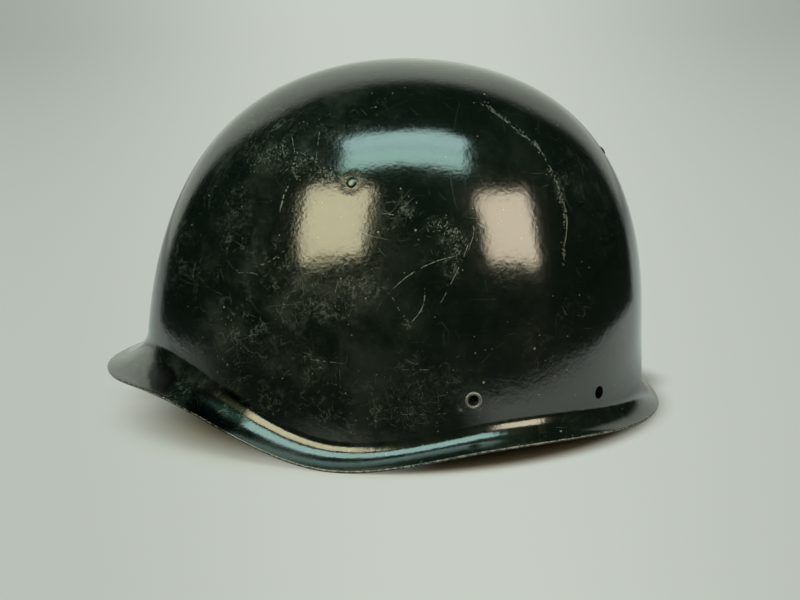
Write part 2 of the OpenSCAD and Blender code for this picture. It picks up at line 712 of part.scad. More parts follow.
// The centre line of a strap from the end of its fold, down, round the bend and along the table
free_drop = 3;
bend_steps = 8;
flat_steps = 12;
turn_steps = 10;
tip_turns = [15:12:87];
function strap_path(lying_z, run, heading, back = 0, tip = 0) =
    let (
        fold_z = ring_low_z - strap_fold,
        bend_z = lying_z + strap_bend,
        down = [for (i = [0:free_drop]) [0, fold_z - i / free_drop * (fold_z - bend_z)]],
        bend = [
            for (i = [1:bend_steps])
                let (b = 90 * i / bend_steps)
                [0, bend_z] + strap_bend * [1 - cos(b), -sin(b)]
        ],
        flat = [for (i = [1:flat_steps]) [strap_bend + run * i / flat_steps, lying_z]],
        turn = [
            for (i = [1:turn_steps])
                let (b = 180 * i / turn_steps)
                if (back > 0) [strap_bend + run + long_turn * sin(b), lying_z + long_turn * (1 - cos(b))]
        ],
        upper_z = lying_z + 2 * long_turn,
        upper = [
            for (i = [1:flat_steps])
                if (back > 0) [strap_bend + run - back * i / flat_steps, upper_z]
        ],
        round_tip = [for (b = tip_turns) if (tip > 0) [strap_bend + run - back - tip * sin(b), upper_z]],
        all = concat(down, bend, flat, turn, upper, round_tip)
    )
    [
        for (p = all)
            let (turned = heading * min(max(p.x / strap_bend, 0), 1))
            [bail_x - strap_sheet / 2 - p.x * cos(turned), hoop_y + p.x * sin(turned), p.y]
    ];
function strap_across(path, heading) = [
    for (p = path)
        let (turned = heading * min(max((bail_x - strap_sheet / 2 - p.x) / strap_bend, 0), 1))
        [sin(turned), cos(turned), 0]
];
function strap_halves(path, tip = 0) =
    let (ending = [for (b = tip_turns) if (tip > 0) tip * cos(b)])
    [
        for (i = [0:len(path) - 1])
            let (k = i - len(path) + len(ending))
            k < 0 ? strap_width / 2 : ending[k]
    ];
module hanging_fold() translate([bail_x, hoop_y, ring_low_z])
    rotate([90, 0, 0]) folded_end(fold_eye, strap_fold);
strap_rivet_drop = strap_fold - 3.6;
module strap_rivet_pair(pitch) for (side = [-1, 1])
    translate([0, side * pitch / 2, 0]) translate([0, 0, strap_sheet + fit_gap])
        rivet(small_shank, small_head, head_height, 2 * (strap_sheet + fit_gap));
module strap_rivet_holes(pitch) for (side = [-1, 1]) translate([0, side * pitch / 2, 0])
    drill(small_shank + 2 * fit_gap, 2 * strap_sheet);
module at_hanging_fold() translate([bail_x, hoop_y, ring_low_z - strap_rivet_drop])
    rotate([0, 90, 0]) children();
module at_buckle_fold() translate([buckle_x + strap_rivet_drop, hoop_y, buckle_z]) children();

module strap_short() color(strap_leather) difference() {
    union() {
        hanging_fold();
        path = strap_path(short_z, short_strap - strap_fold + overlap, 0);
        ribbon(path, strap_across(path, 0), strap_halves(path), strap_sheet);
        translate([buckle_x, hoop_y, buckle_z])
            rotate([90, 0, 0]) rotate(90) folded_end(buckle_eye, strap_fold);
    }
    at_hanging_fold() strap_rivet_holes(fastener_pitch);
    at_buckle_fold() strap_rivet_holes(fastener_pitch + 1);
    translate([buckle_x - 2 * strap_sheet - buckle_eye, hoop_y - slot_width / 2, buckle_z - 3 * strap_sheet])
        cube([2 * strap_sheet + buckle_eye + slot_rear, slot_width, 6 * strap_sheet]);
}
module strap_short_rivets() color(brass) {
    at_hanging_fold() strap_rivet_pair(fastener_pitch);
    at_buckle_fold() strap_rivet_pair(fastener_pitch + 1);
}
module buckle_frame() color(steel_grey) translate([buckle_x, hoop_y, buckle_z]) rotate([0, -buckle_slope, 0])
    wire_loop(buckle_length, ring_inner + buckle_wire, buckle_wire);
roller_length = ring_inner - 1.6;
module buckle_roller() color(steel_grey)
    translate([roller_x, hoop_y + roller_length / 2, roller_z]) rotate([90, 0, 0]) difference() {
        cylinder(d = roller_width, h = roller_length);
        translate([0, 0, -1]) cylinder(d = buckle_wire + 0.4, h = roller_length + 2);
    }
prong_eye = buckle_wire / 2 + 0.25;
prong_wall = 1.2;
prong_width = slot_width - 1.4;
prong_over = 1.5;
prong_rest = roller_z + (roller_width + prong_wire) / 2 + 0.15;
prong_z = max(buckle_z + prong_eye + prong_wire / 2, prong_rest);
module buckle_prong() color(steel_grey) {
    translate([buckle_x, hoop_y, buckle_z]) rotate([90, 0, 0]) difference() {
        cylinder(r = prong_eye + prong_wall, h = prong_width, center = true);
        drill(2 * prong_eye, prong_width);
    }
    translate([roller_x - prong_over, hoop_y, prong_z]) {
        rotate([0, 90, 0]) cylinder(d = prong_wire, h = buckle_x - roller_x + 2 * prong_over);
        sphere(d = prong_wire);
    }
}
keeper_x = buckle_x + strap_fold + 3;
keeper_inner_width = strap_width + 2 * keeper_gap;
keeper_inner_height = 2 * strap_sheet + 2 * keeper_gap;
module keeper() color(strap_leather) translate([keeper_x, hoop_y, table_gap]) difference() {
    translate([0, -keeper_inner_width / 2 - keeper_sheet, 0])
        cube([keeper_width, keeper_inner_width + 2 * keeper_sheet, keeper_inner_height + 2 * keeper_sheet]);
    translate([-1, -keeper_inner_width / 2, keeper_sheet])
        cube([keeper_width + 2, keeper_inner_width, keeper_inner_height]);
}

// The long strap is drawn on the left and mirrored. It is folded back, with its round tip on top
first_hole = 16;
tip_x = long_return - strap_bend - long_strap - first_hole;
module strap_long() color(strap_leather) mirror([1, 0, 0]) difference() {
    union() {
        hanging_fold();
        path = strap_path(long_z, long_strap, long_heading, long_return, strap_width / 2);
        ribbon(path, strap_across(path, long_heading), strap_halves(path, strap_width / 2), strap_sheet);
    }
    at_hanging_fold() strap_rivet_holes(fastener_pitch);
    translate([bail_x - strap_sheet / 2, hoop_y, long_z + 2 * long_turn]) rotate(-long_heading)
        for (i = [0:strap_holes - 1]) translate([tip_x - i * hole_pitch, 0, 0])
            drill(prong_wire + 0.8, long_turn);
}
module strap_long_rivets() color(brass) mirror([1, 0, 0]) at_hanging_fold() strap_rivet_pair(fastener_pitch);

shell();
color(steel_black) liner_rivet(liner_rivet_azimuth);  // liner_rivet_left
color(steel_black) liner_rivet(360 - liner_rivet_azimuth);  // liner_rivet_right
color(steel_black) liner_rivet(180);  // liner_rivet_rear
rivet_washers();
eyelet(eyelet_azimuth);  // eyelet_left
eyelet(360 - eyelet_azimuth);  // eyelet_right
liner_hoop();
hanger(liner_rivet_azimuth);  // hanger_left
mirror([1, 0, 0]) hanger(liner_rivet_azimuth);  // hanger_right
hanger(180);  // hanger_rear
hoop_rivets();
felt_band();
sweatband();
tongue(0);  // tongue_1
tongue(1);  // tongue_2
tongue(2);  // tongue_3
tongue(3);  // tongue_4
tongue(4);  // tongue_5
tongue(5);  // tongue_6
tongue(6);  // tongue_7
tongue(7);  // tongue_8
crown_patch();
bail();  // bail_left
mirror([1, 0, 0]) bail();  // bail_right
bail_rivets();
ring();  // ring_left
mirror([1, 0, 0]) ring();  // ring_right
strap_short();
strap_short_rivets();
buckle_frame();
buckle_roller();
buckle_prong();
keeper();
strap_long();
strap_long_rivets();
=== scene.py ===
"""Service helmet on a pale table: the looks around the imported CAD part.

The shell is built again from the same curves as the CAD shell, with a much finer mesh, so that the
gloss paint reflects without facets. The liner and the chin strap get leather, felt, stitches and
worn metal.
"""

import functools
import json
import math
import operator
import random

import bmesh
import bpy
import numpy as np
from mathutils import Matrix, Vector
from mathutils.bvhtree import BVHTree
from mathutils.kdtree import KDTree


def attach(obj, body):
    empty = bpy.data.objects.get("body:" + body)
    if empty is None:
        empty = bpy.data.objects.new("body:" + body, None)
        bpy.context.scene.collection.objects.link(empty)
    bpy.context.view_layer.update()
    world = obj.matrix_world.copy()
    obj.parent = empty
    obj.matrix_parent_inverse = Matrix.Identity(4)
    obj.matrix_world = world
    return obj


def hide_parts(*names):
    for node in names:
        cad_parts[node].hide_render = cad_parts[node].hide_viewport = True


MM = 0.001

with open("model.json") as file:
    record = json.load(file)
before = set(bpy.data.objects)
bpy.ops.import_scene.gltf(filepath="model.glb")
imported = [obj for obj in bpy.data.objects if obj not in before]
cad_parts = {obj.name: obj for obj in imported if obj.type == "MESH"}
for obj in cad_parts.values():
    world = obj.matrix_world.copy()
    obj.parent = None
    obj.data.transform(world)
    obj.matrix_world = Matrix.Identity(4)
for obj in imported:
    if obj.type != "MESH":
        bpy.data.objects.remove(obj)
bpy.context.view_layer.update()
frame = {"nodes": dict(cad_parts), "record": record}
scene = bpy.context.scene

# The shell's sizes in millimetres, as in the part's source
SHEET = 1.3
CROWN_HEIGHT = 177.5
WALL_HALF_WIDTH = 106.6
WALL_FRONT = 127.6
WALL_REAR = 125.7
PLAN_EGG = 0.135
PLAN_POINT = 0.062
SHOULDER = 0.092
EQUATOR_HEIGHT = 30.4
EQUATOR_TILT = 24.9
CROWN_LEAN = 3.4
VISOR_DEPTH = 20.0
SIDE_BRIM = 11.9
NAPE_BRIM = 8.7
VISOR_FOCUS = 4
VISOR_RISE = 25.5
EAR_RISE = 9.5
FILLETS = (17.0, 10.0, 11.0)
FILLET_POWER = 1.5
FILLET_TURN = math.radians(70)
CONTROL_STEP = 15.0
RIM_CONTROLS = np.array(
    [VISOR_RISE * share for share in (1.01, 0.975, 1.06, 0.845, 0.345)]
    + [-2.1, 1.7]
    + [EAR_RISE * share for share in (0.93, 1.03, 0.79, 0.37, 0.215)]
    + [-0.5]
)
LAST_CONTROL = len(RIM_CONTROLS) - 1
NEWTON_STEPS = 8

LINER_RIVETS = (79.5, 280.5, 180.0)
LINER_RIVET_HEIGHT = 129.5
EYELETS = (106.5, 253.5)
EYELET_HEIGHT = 31.0
EYELET_HOLE = 3.1
NAPE_HOLES = (140.5, 219.5)
NAPE_HOLE_HEIGHT = 24.0
NAPE_HOLE = 3.1
RIVET_HOLE = 1.6


# The shell's curves

def rim_rise(azimuth):
    """Height of the brim's upper edge over its lowest point, a uniform cubic B-spline."""
    away = np.abs((np.asarray(azimuth, float) + 180) % 360 - 180) / CONTROL_STEP
    first = np.minimum(np.floor(away).astype(int), LAST_CONTROL - 1)
    x = away - first
    weights = ((1 - x) ** 3, 3 * x**3 - 6 * x**2 + 4, -3 * x**3 + 3 * x**2 + 3 * x + 1, x**3)
    rise = 0
    for k, weight in enumerate(weights):
        index = np.abs(first + k - 1)
        index = np.where(index > LAST_CONTROL, 2 * LAST_CONTROL - index, index)
        rise = rise + weight / 6 * RIM_CONTROLS[index]
    return rise


def level(u):
    return np.where(u > 0, np.sin(u) * (1 + SHOULDER * np.cos(u) ** 2), (1 + SHOULDER) * u)


def dome_share(u):
    return np.where(u > 0, np.cos(u) * (1 + SHOULDER * np.sin(u) ** 2), 1)


def equator(azimuth):
    return EQUATOR_HEIGHT - EQUATOR_TILT * np.cos(np.radians(azimuth))


def angle_at(azimuth, z):
    """The dome's angle at a height: 90 degrees is the crown, 0 where the wall turns upright."""
    h = (z - equator(azimuth)) / (CROWN_HEIGHT - equator(azimuth))
    u = np.arcsin(np.clip(h, 0, 1)) * 0.95
    for _ in range(NEWTON_STEPS):
        slope = np.cos(u) * (1 + SHOULDER * (np.cos(u) ** 2 - 2 * np.sin(u) ** 2))
        u = u - (np.sin(u) * (1 + SHOULDER * np.cos(u) ** 2) - h) / slope
    return np.where(h <= 0, h / (1 + SHOULDER), u)


def wall_centre():
    share = dome_share(angle_at(0.0, rim_rise(0.0) + SHEET))
    return float(((WALL_FRONT + CROWN_LEAN) * share - CROWN_LEAN + VISOR_DEPTH - WALL_REAR - NAPE_BRIM) / 2)


WALL_Y = wall_centre()


def plan(azimuth):
    s, c = np.sin(np.radians(azimuth)), np.cos(np.radians(azimuth))
    depth = (WALL_FRONT + WALL_REAR) / 2 + (WALL_FRONT - WALL_REAR) / 2 * c
    return WALL_HALF_WIDTH * (1 - PLAN_EGG * c - PLAN_POINT * c**2) * s, WALL_Y - depth * c


def plan_normal(azimuth):
    x1, y1 = plan(azimuth + 0.5)
    x0, y0 = plan(azimuth - 0.5)
    run = np.hypot(x1 - x0, y1 - y0)
    return (y1 - y0) / run, -(x1 - x0) / run


def around(azimuth, front, side, rear, focus):
    c = np.cos(np.radians(azimuth))
    return np.where(c > 0, side + (front - side) * np.abs(c) ** focus, side + (rear - side) * c**2)


def dome_point(azimuth, u):
    share = dome_share(u)
    x, y = plan(azimuth)
    base = equator(azimuth)
    y = y * share + (WALL_Y + CROWN_LEAN) * (1 - share)
    return np.stack([x * share, y, base + (CROWN_HEIGHT - base) * level(u)], -1)


def surface_row(azimuth, dome, flare, lift):
    """One row of the outer skin: dome goes from 0 at the crown to 1 at the flare, flare to 1 at the rim."""
    drop = around(azimuth, *FILLETS, FILLET_POWER)
    top = rim_rise(azimuth) + lift + drop
    if flare == 0:
        low = angle_at(azimuth, top)
        return dome_point(azimuth, math.pi / 2 - (math.pi / 2 - low) * dome)
    turn = flare * FILLET_TURN
    z = top - drop * np.sin(turn) / np.sin(FILLET_TURN)
    reach = around(azimuth, VISOR_DEPTH, SIDE_BRIM, NAPE_BRIM, VISOR_FOCUS)
    reach = reach * (1 - np.cos(turn)) / (1 - np.cos(FILLET_TURN))
    nx, ny = plan_normal(azimuth)
    return dome_point(azimuth, angle_at(azimuth, z)) + reach[..., None] * np.stack([nx, ny, 0 * nx], -1)


def unit(v):
    return v / np.linalg.norm(v, axis=-1, keepdims=True)


def row_normals(rows):
    """Outward normals of a closed grid of rows, from the crown down."""
    across = np.roll(rows, -1, 1) - np.roll(rows, 1, 1)
    up = np.empty_like(rows)
    up[1:-1] = rows[:-2] - rows[2:]
    up[0] = rows[0] - rows[1]
    up[-1] = rows[-2] - rows[-1]
    return unit(np.cross(across, up))


COLUMNS = 288
DOME_ROWS = 64
FLARE_ROWS = 22
CAD_AZIMUTHS = np.arange(0, 360, 5.0)


def rim_lift():
    """Lifts the rim so that the sheet's underside stands on the table."""
    last = surface_row(CAD_AZIMUTHS, 1, 1, 0)
    before = surface_row(CAD_AZIMUTHS, 1, 1 - 1 / 7, 0)
    normal = unit(np.cross(np.roll(last, -1, 0) - np.roll(last, 1, 0), before - last))
    return -float((last - SHEET * normal)[:, 2].min())


RIM_LIFT = rim_lift()


def on_shell(azimuth, z):
    """Point and outward normal of the outer skin above the flare, in metres."""
    def at(a, h):
        return dome_point(a, angle_at(a, h))
    across = at(azimuth + 0.5, z) - at(azimuth - 0.5, z)
    up = at(azimuth, z + 0.5) - at(azimuth, z - 0.5)
    return Vector(at(azimuth, z) * MM), Vector(unit(np.cross(across, up)))


# Small helpers for pieces

def new_object(name, points, faces, materials, smooth=True):
    mesh = bpy.data.meshes.new(name)
    mesh.from_pydata([tuple(p) for p in points], [], faces)
    mesh.validate()
    mesh.polygons.foreach_set("use_smooth", [smooth] * len(mesh.polygons))
    for material in materials:
        mesh.materials.append(material)
    mesh.update()
    return linked(name, mesh)


def linked(name, data):
    obj = bpy.data.objects.new(name, data)
    scene.collection.objects.link(obj)
    return obj


def fit(obj, slot, body, *nodes):
    """Attaches a piece to its body and hides the CAD nodes that it replaces. Its slot is not used."""
    if nodes:
        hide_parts(*nodes)
    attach(obj, body)


def bore(place, radius, depth, segments):
    """A cylinder that cuts a hole. Its place is a matrix, its sizes are in millimetres."""
    bm = bmesh.new()
    size = radius * MM
    bmesh.ops.create_cone(bm, cap_ends=True, segments=segments, radius1=size, radius2=size, depth=depth * MM)
    bm.transform(place)
    mesh = bpy.data.meshes.new("bore")
    bm.to_mesh(mesh)
    bm.free()
    return linked("bore", mesh)


def tipped_rows(tips, rows):
    """Points and faces of a skin whose rows of points go round, from one tip to the other."""
    rows = np.asarray(rows)
    count, ring = rows.shape[:2]

    def at(i, j):
        return 2 + i * ring + j % ring

    faces = []
    for j in range(ring):
        faces += [(0, at(0, j), at(0, j + 1)), (1, at(count - 1, j + 1), at(count - 1, j))]
    for i in range(count - 1):
        faces += [(at(i, j), at(i + 1, j), at(i + 1, j + 1), at(i, j + 1)) for j in range(ring)]
    return np.concatenate([tips, rows.reshape(-1, 3)]), faces


def tube_faces(count, ring, closed, base=0):
    """Faces of a tube of sections, each a ring of points. A tube that isn't closed gets flat ends."""
    faces = []
    for i in range(count if closed else count - 1):
        a, b = base + i * ring, base + (i + 1) % count * ring
        faces += [(a + k, b + k, b + (k + 1) % ring, a + (k + 1) % ring) for k in range(ring)]
    if not closed:
        faces += [tuple(range(base, base + ring)), tuple(range(b, b + ring))]
    return faces


def cut(obj, cutters):
    for cutter in cutters:
        modifier = obj.modifiers.new("cut", "BOOLEAN")
        modifier.operation = "DIFFERENCE"
        modifier.solver = "EXACT"
        modifier.object = cutter
    depsgraph = bpy.context.evaluated_depsgraph_get()
    mesh = bpy.data.meshes.new_from_object(obj.evaluated_get(depsgraph))
    obj.modifiers.clear()
    obj.data = mesh
    for cutter in cutters:
        bpy.data.objects.remove(cutter, do_unlink=True)


# Node trees, with plain arithmetic on what they work out

def reckon(operation, swapped=False, kind="math"):
    """An operator that adds one node to the tree."""
    def method(self, other):
        a, b = (other, self) if swapped else (self, other)
        return getattr(self.nodes, kind)(operation, a, b)
    return method


class Field:
    """A value that a node tree works out for each point. | takes the greater of two, & the lesser."""

    def __init__(self, nodes, socket):
        self.nodes, self.socket = nodes, socket

    def __abs__(self):
        return self.nodes.math("ABSOLUTE", self)

    __add__, __or__, __and__ = reckon("ADD"), reckon("MAXIMUM"), reckon("MINIMUM")
    __sub__, __rsub__ = reckon("SUBTRACT"), reckon("SUBTRACT", swapped=True)
    __mul__, __truediv__ = reckon("MULTIPLY"), reckon("DIVIDE")
    __gt__, __lt__ = reckon("GREATER_THAN"), reckon("LESS_THAN")


class VectorField(Field):
    """A vector that a node tree works out for each point."""

    __add__, __sub__ = reckon("ADD", kind="vector"), reckon("SUBTRACT", kind="vector")
    __truediv__, distance = reckon("DIVIDE", kind="vector"), reckon("DISTANCE", kind="vector")

    def __mul__(self, number):
        return self.nodes.vector("SCALE", self, scale=number)

    def length(self):
        return self.nodes.vector("LENGTH", self)

    def parts(self):
        node = self.nodes.node("SeparateXYZ", Vector=self)
        return [Field(self.nodes, output) for output in node.outputs]


def union(masks):
    """The greatest of some masks at each point."""
    return functools.reduce(operator.or_, masks)


class Nodes:
    """A node tree, with short calls for the nodes that it needs."""

    def __init__(self, tree):
        self.tree = tree

    def feed(self, targets, values):
        for target, value in zip(targets, values):
            if isinstance(value, Field):
                self.tree.links.new(value.socket, target)
            else:
                target.default_value = value

    def node(self, kind, settings=(), **inputs):
        node = self.tree.nodes.new("ShaderNode" + kind)
        for key, value in dict(settings).items():
            setattr(node, key, value)
        self.feed([node.inputs[name.replace("_", " ")] for name in inputs], inputs.values())
        return node

    def math(self, operation, *values, clamp=False):
        node = self.node("Math", {"operation": operation, "use_clamp": clamp})
        self.feed(node.inputs, values)
        return Field(self, node.outputs[0])

    def vector(self, operation, a, b=(0, 0, 0), scale=1.0):
        node = self.node("VectorMath", {"operation": operation})
        self.feed([node.inputs[index] for index in (0, 1, 3)], (a, b, scale))
        if operation in ("LENGTH", "DISTANCE"):
            return Field(self, node.outputs["Value"])
        return VectorField(self, node.outputs["Vector"])

    def combine(self, x, y, z=0.0):
        return VectorField(self, self.node("CombineXYZ", X=x, Y=y, Z=z).outputs[0])

    def coordinates(self, kind="Object"):
        return VectorField(self, self.node("TexCoord").outputs[kind])

    def place(self):
        """Where a point of the piece is, in millimetres."""
        return self.coordinates() * (1 / MM)

    def ray(self, kind):
        return Field(self, self.node("LightPath").outputs[kind])

    def noise(self, vector, scale, detail=3.0, rough=0.5, distortion=0.0):
        node = self.node("TexNoise", Vector=vector, Scale=scale, Detail=detail, Roughness=rough,
                         Distortion=distortion)
        return Field(self, node.outputs["Fac"])

    def noises(self, vector, scale, detail):
        """Three noises at once, each from 0 to 1."""
        return VectorField(self, self.noise(vector, scale, detail).socket.node.outputs["Color"])

    def warp(self, vector, scale, detail, size):
        """A smooth random shift to all sides."""
        return (self.noises(vector, scale, detail) - (0.5, 0.5, 0.5)) * size

    def ramp(self, value, low, high, to_low=0.0, to_high=1.0):
        """Goes smoothly from to_low to to_high while the value goes from low to high."""
        node = self.node("MapRange", {"interpolation_type": "SMOOTHSTEP"}, Value=value,
                         From_Min=low, From_Max=high, To_Min=to_low, To_Max=to_high)
        return Field(self, node.outputs["Result"])

    def blend(self, factor, a, b, kind="FLOAT"):
        return Field(self, self.node("Mix", {"data_type": kind}, Factor=factor, A=a, B=b).outputs["Result"])

    def layers(self, colour, *coats):
        """A colour under coats, each with its share and its colour."""
        for share, coat in coats:
            colour = self.blend(share, colour, coat, "RGBA")
        return colour

    def cells(self, vector, size, **settings):
        """Random cells: three random numbers for each, and the node's other outputs."""
        outputs = self.node("TexVoronoi", settings, Vector=vector, Scale=1 / size).outputs
        return VectorField(self, outputs["Color"]).parts(), outputs

    def bump(self, height, depth, normal=None):
        """Tilts the surface by a height from 0 to 1. Its depth is in millimetres."""
        under = {} if normal is None else {"Normal": normal}
        node = self.node("Bump", Strength=1.0, Distance=depth * MM, Height=height, **under)
        return Field(self, node.outputs["Normal"])


class Material(Nodes):
    """The node tree of a new material, with its shader."""

    def __init__(self, name):
        self.material = bpy.data.materials.new(name)
        self.material.use_nodes = True
        super().__init__(self.material.node_tree)
        self.shader = self.tree.nodes["Principled BSDF"]

    def set(self, **values):
        self.feed([self.shader.inputs[name.replace("_", " ")] for name in values], values.values())
        return self.material


# The shell's paint

PAINT = (0.0020, 0.0044, 0.0027, 1)
DUST = (0.060, 0.072, 0.058, 1)
SCRATCH = (0.155, 0.175, 0.140, 1)
BARE = (0.34, 0.31, 0.26, 1)
WORN_EDGE = (0.40, 0.39, 0.33, 1)

# The longest scratches on the wearer's left: start, middle and end as (y, z), width and strength.
# All places and sizes of marks are in millimetres
LONG_SCRATCHES = [
    ((5.5, 82.5), (21.0, 93.5), (40.0, 98.0), 0.55, 0.60),
    ((42.0, 104.5), (37.5, 94.0), (27.5, 76.0), 0.45, 0.60),
    ((43.5, 110.0), (44.0, 107.0), (41.0, 99.0), 0.40, 0.40),
    ((2.0, 85.0), (6.5, 79.0), (10.0, 72.0), 0.35, 0.40),
    ((21.0, 84.0), (19.5, 75.0), (13.5, 68.0), 0.80, 0.45),
    ((50.0, 161.0), (60.0, 154.0), (68.0, 147.5), 0.50, 0.45),
    ((66.0, 148.0), (75.0, 142.0), (80.0, 134.0), 0.65, 0.55),
    ((80.5, 133.0), (83.0, 129.0), (85.5, 121.0), 0.55, 0.45),
    ((87.0, 116.0), (88.5, 108.0), (86.5, 96.0), 0.70, 0.50),
    ((-10.0, 137.0), (-8.0, 126.0), (-12.0, 118.0), 0.30, 0.25),
    ((-40.0, 149.0), (-38.0, 141.0), (-37.0, 134.0), 0.45, 0.45),
    ((-26.0, 151.0), (-27.0, 145.0), (-28.0, 138.0), 0.45, 0.35),
    ((-41.0, 127.0), (-43.5, 122.0), (-45.5, 115.0), 1.40, 0.22),
    ((0.5, 116.5), (5.0, 116.5), (10.5, 115.5), 0.35, 0.50),
    ((-67.0, 86.0), (-60.0, 87.0), (-56.0, 86.0), 0.40, 0.35),
    ((-58.0, 90.0), (-51.0, 93.0), (-43.0, 99.0), 0.45, 0.40),
    ((-33.0, 50.0), (-26.0, 49.5), (-17.0, 49.0), 0.40, 0.35),
    ((8.5, 25.5), (19.0, 25.5), (30.0, 25.5), 0.35, 0.35),
    ((6.5, 46.4), (14.0, 46.8), (22.5, 46.5), 0.30, 0.25),
]
# Random scratches: cell, width, length, share of the cells and seed, then how much more they show in
# patches and how much they show everywhere
RANDOM_SCRATCHES = [
    ((3.6, 0.09, 3.4, 0.50, 11.0), 0.55, 0.10),
    ((8.0, 0.10, 7.5, 0.34, 53.0), 0.55, 0.22),
    ((21.0, 0.12, 24.0, 0.30, 97.0), 0.40, 0.25),
]
# Patches on the flare of the brim on the same side, made rougher and metallic black so that they reflect
# almost nothing: painted darkness in the reflection, as (y, z) and its reach
REFLECTION_DARKENED_FLARES = [((-79.0, 22.0), (19.0, 11.0)), ((-107.5, 31.5), (9.0, 6.0))]
# Trails of small chips on the same side: start, middle and end as (y, z), and how far they stray
CHIP_TRAILS = [
    ((47.0, 165.0), (60.0, 154.5), (72.0, 145.0), 0.9),
    ((70.0, 146.0), (77.0, 140.0), (82.0, 131.0), 0.8),
    ((81.5, 131.0), (84.5, 124.5), (85.5, 116.5), 1.5),
    ((85.0, 122.0), (87.5, 113.0), (87.0, 104.0), 0.8),
    ((87.0, 104.0), (86.5, 97.0), (86.0, 89.0), 0.9),
    ((-60.0, 134.0), (-42.0, 140.0), (-22.0, 136.0), 3.5),
    ((-44.0, 147.0), (-42.0, 138.0), (-36.0, 130.0), 1.6),
    ((22.0, 113.0), (30.0, 110.0), (40.0, 104.0), 3.0),
    ((33.0, 112.0), (36.0, 100.0), (33.0, 88.0), 2.4),
]
# Scuffed patches on the same side: (y, z), half width and half height, and strength
SCUFFS = [
    ((12.5, 121.0), (3.0, 4.5), 0.90),
    ((15.5, 117.0), (3.0, 3.0), 0.90),
    ((27.0, 112.0), (8.0, 4.0), 0.80),
    ((34.0, 105.0), (8.0, 7.0), 0.75),
    ((33.0, 92.0), (5.0, 9.0), 0.45),
    ((86.0, 121.0), (3.5, 7.0), 0.85),
    ((-45.0, 138.0), (24.0, 9.0), 0.60),
    ((-24.0, 132.0), (10.0, 7.0), 0.75),
    ((-9.0, 150.0), (30.0, 6.0), 0.35),
    ((-8.0, 84.0), (15.0, 8.0), 0.70),
    ((-22.0, 74.0), (16.0, 9.0), 0.60),
    ((-66.0, 116.0), (9.0, 12.0), 0.45),
    ((-60.0, 52.0), (18.0, 12.0), 0.40),
    ((13.0, 67.5), (4.0, 3.0), 0.80),
    ((30.0, 40.0), (14.0, 12.0), 0.25),
    ((36.8, 27.6), (2.4, 2.6), 1.00),
    ((48.0, 28.0), (8.0, 4.0), 0.60),
    ((10.0, 30.0), (24.0, 16.0), 0.30),
]


def random_scratches(m, plane, cell, width, length, share, seed):
    """Short, slightly bent scratches, one in some cells of a plane. Sizes in millimetres."""
    moved = plane + (seed, seed * 0.37, 0)
    (turning, shape, chance), cells = m.cells(moved, cell, voronoi_dimensions="2D")
    x, y, _ = (moved - VectorField(m, cells["Position"])).parts()
    turn = turning * math.tau
    cos, sin = m.math("COSINE", turn), m.math("SINE", turn)
    along, off = x * cos + y * sin, y * cos - x * sin
    bend = along * along * (shape * 0.026 - 0.013)
    line = m.ramp(abs(off + bend), width * 0.2, width, 1.0, 0.0)
    ends = m.ramp(abs(along), length * 0.25, length * 0.5, 1.0, 0.0)
    return line * ends * (chance < share) * (shape * 0.75 + 0.25)


def random_dots(m, place, cell, radius, share, seed):
    """Small chips, one in some cells of space. Sizes in millimetres."""
    (shape, chance, _), cells = m.cells(place + (seed, seed * 0.61, seed * 0.23), cell)
    size = shape * (radius / cell) + radius / cell * 0.4
    return (Field(m, cells["Distance"]) < size) * (chance < share)


def from_rivet(place, azimuth):
    """How far a point is from a liner rivet, in millimetres."""
    return place.distance(tuple(on_shell(azimuth, LINER_RIVET_HEIGHT)[0] / MM))


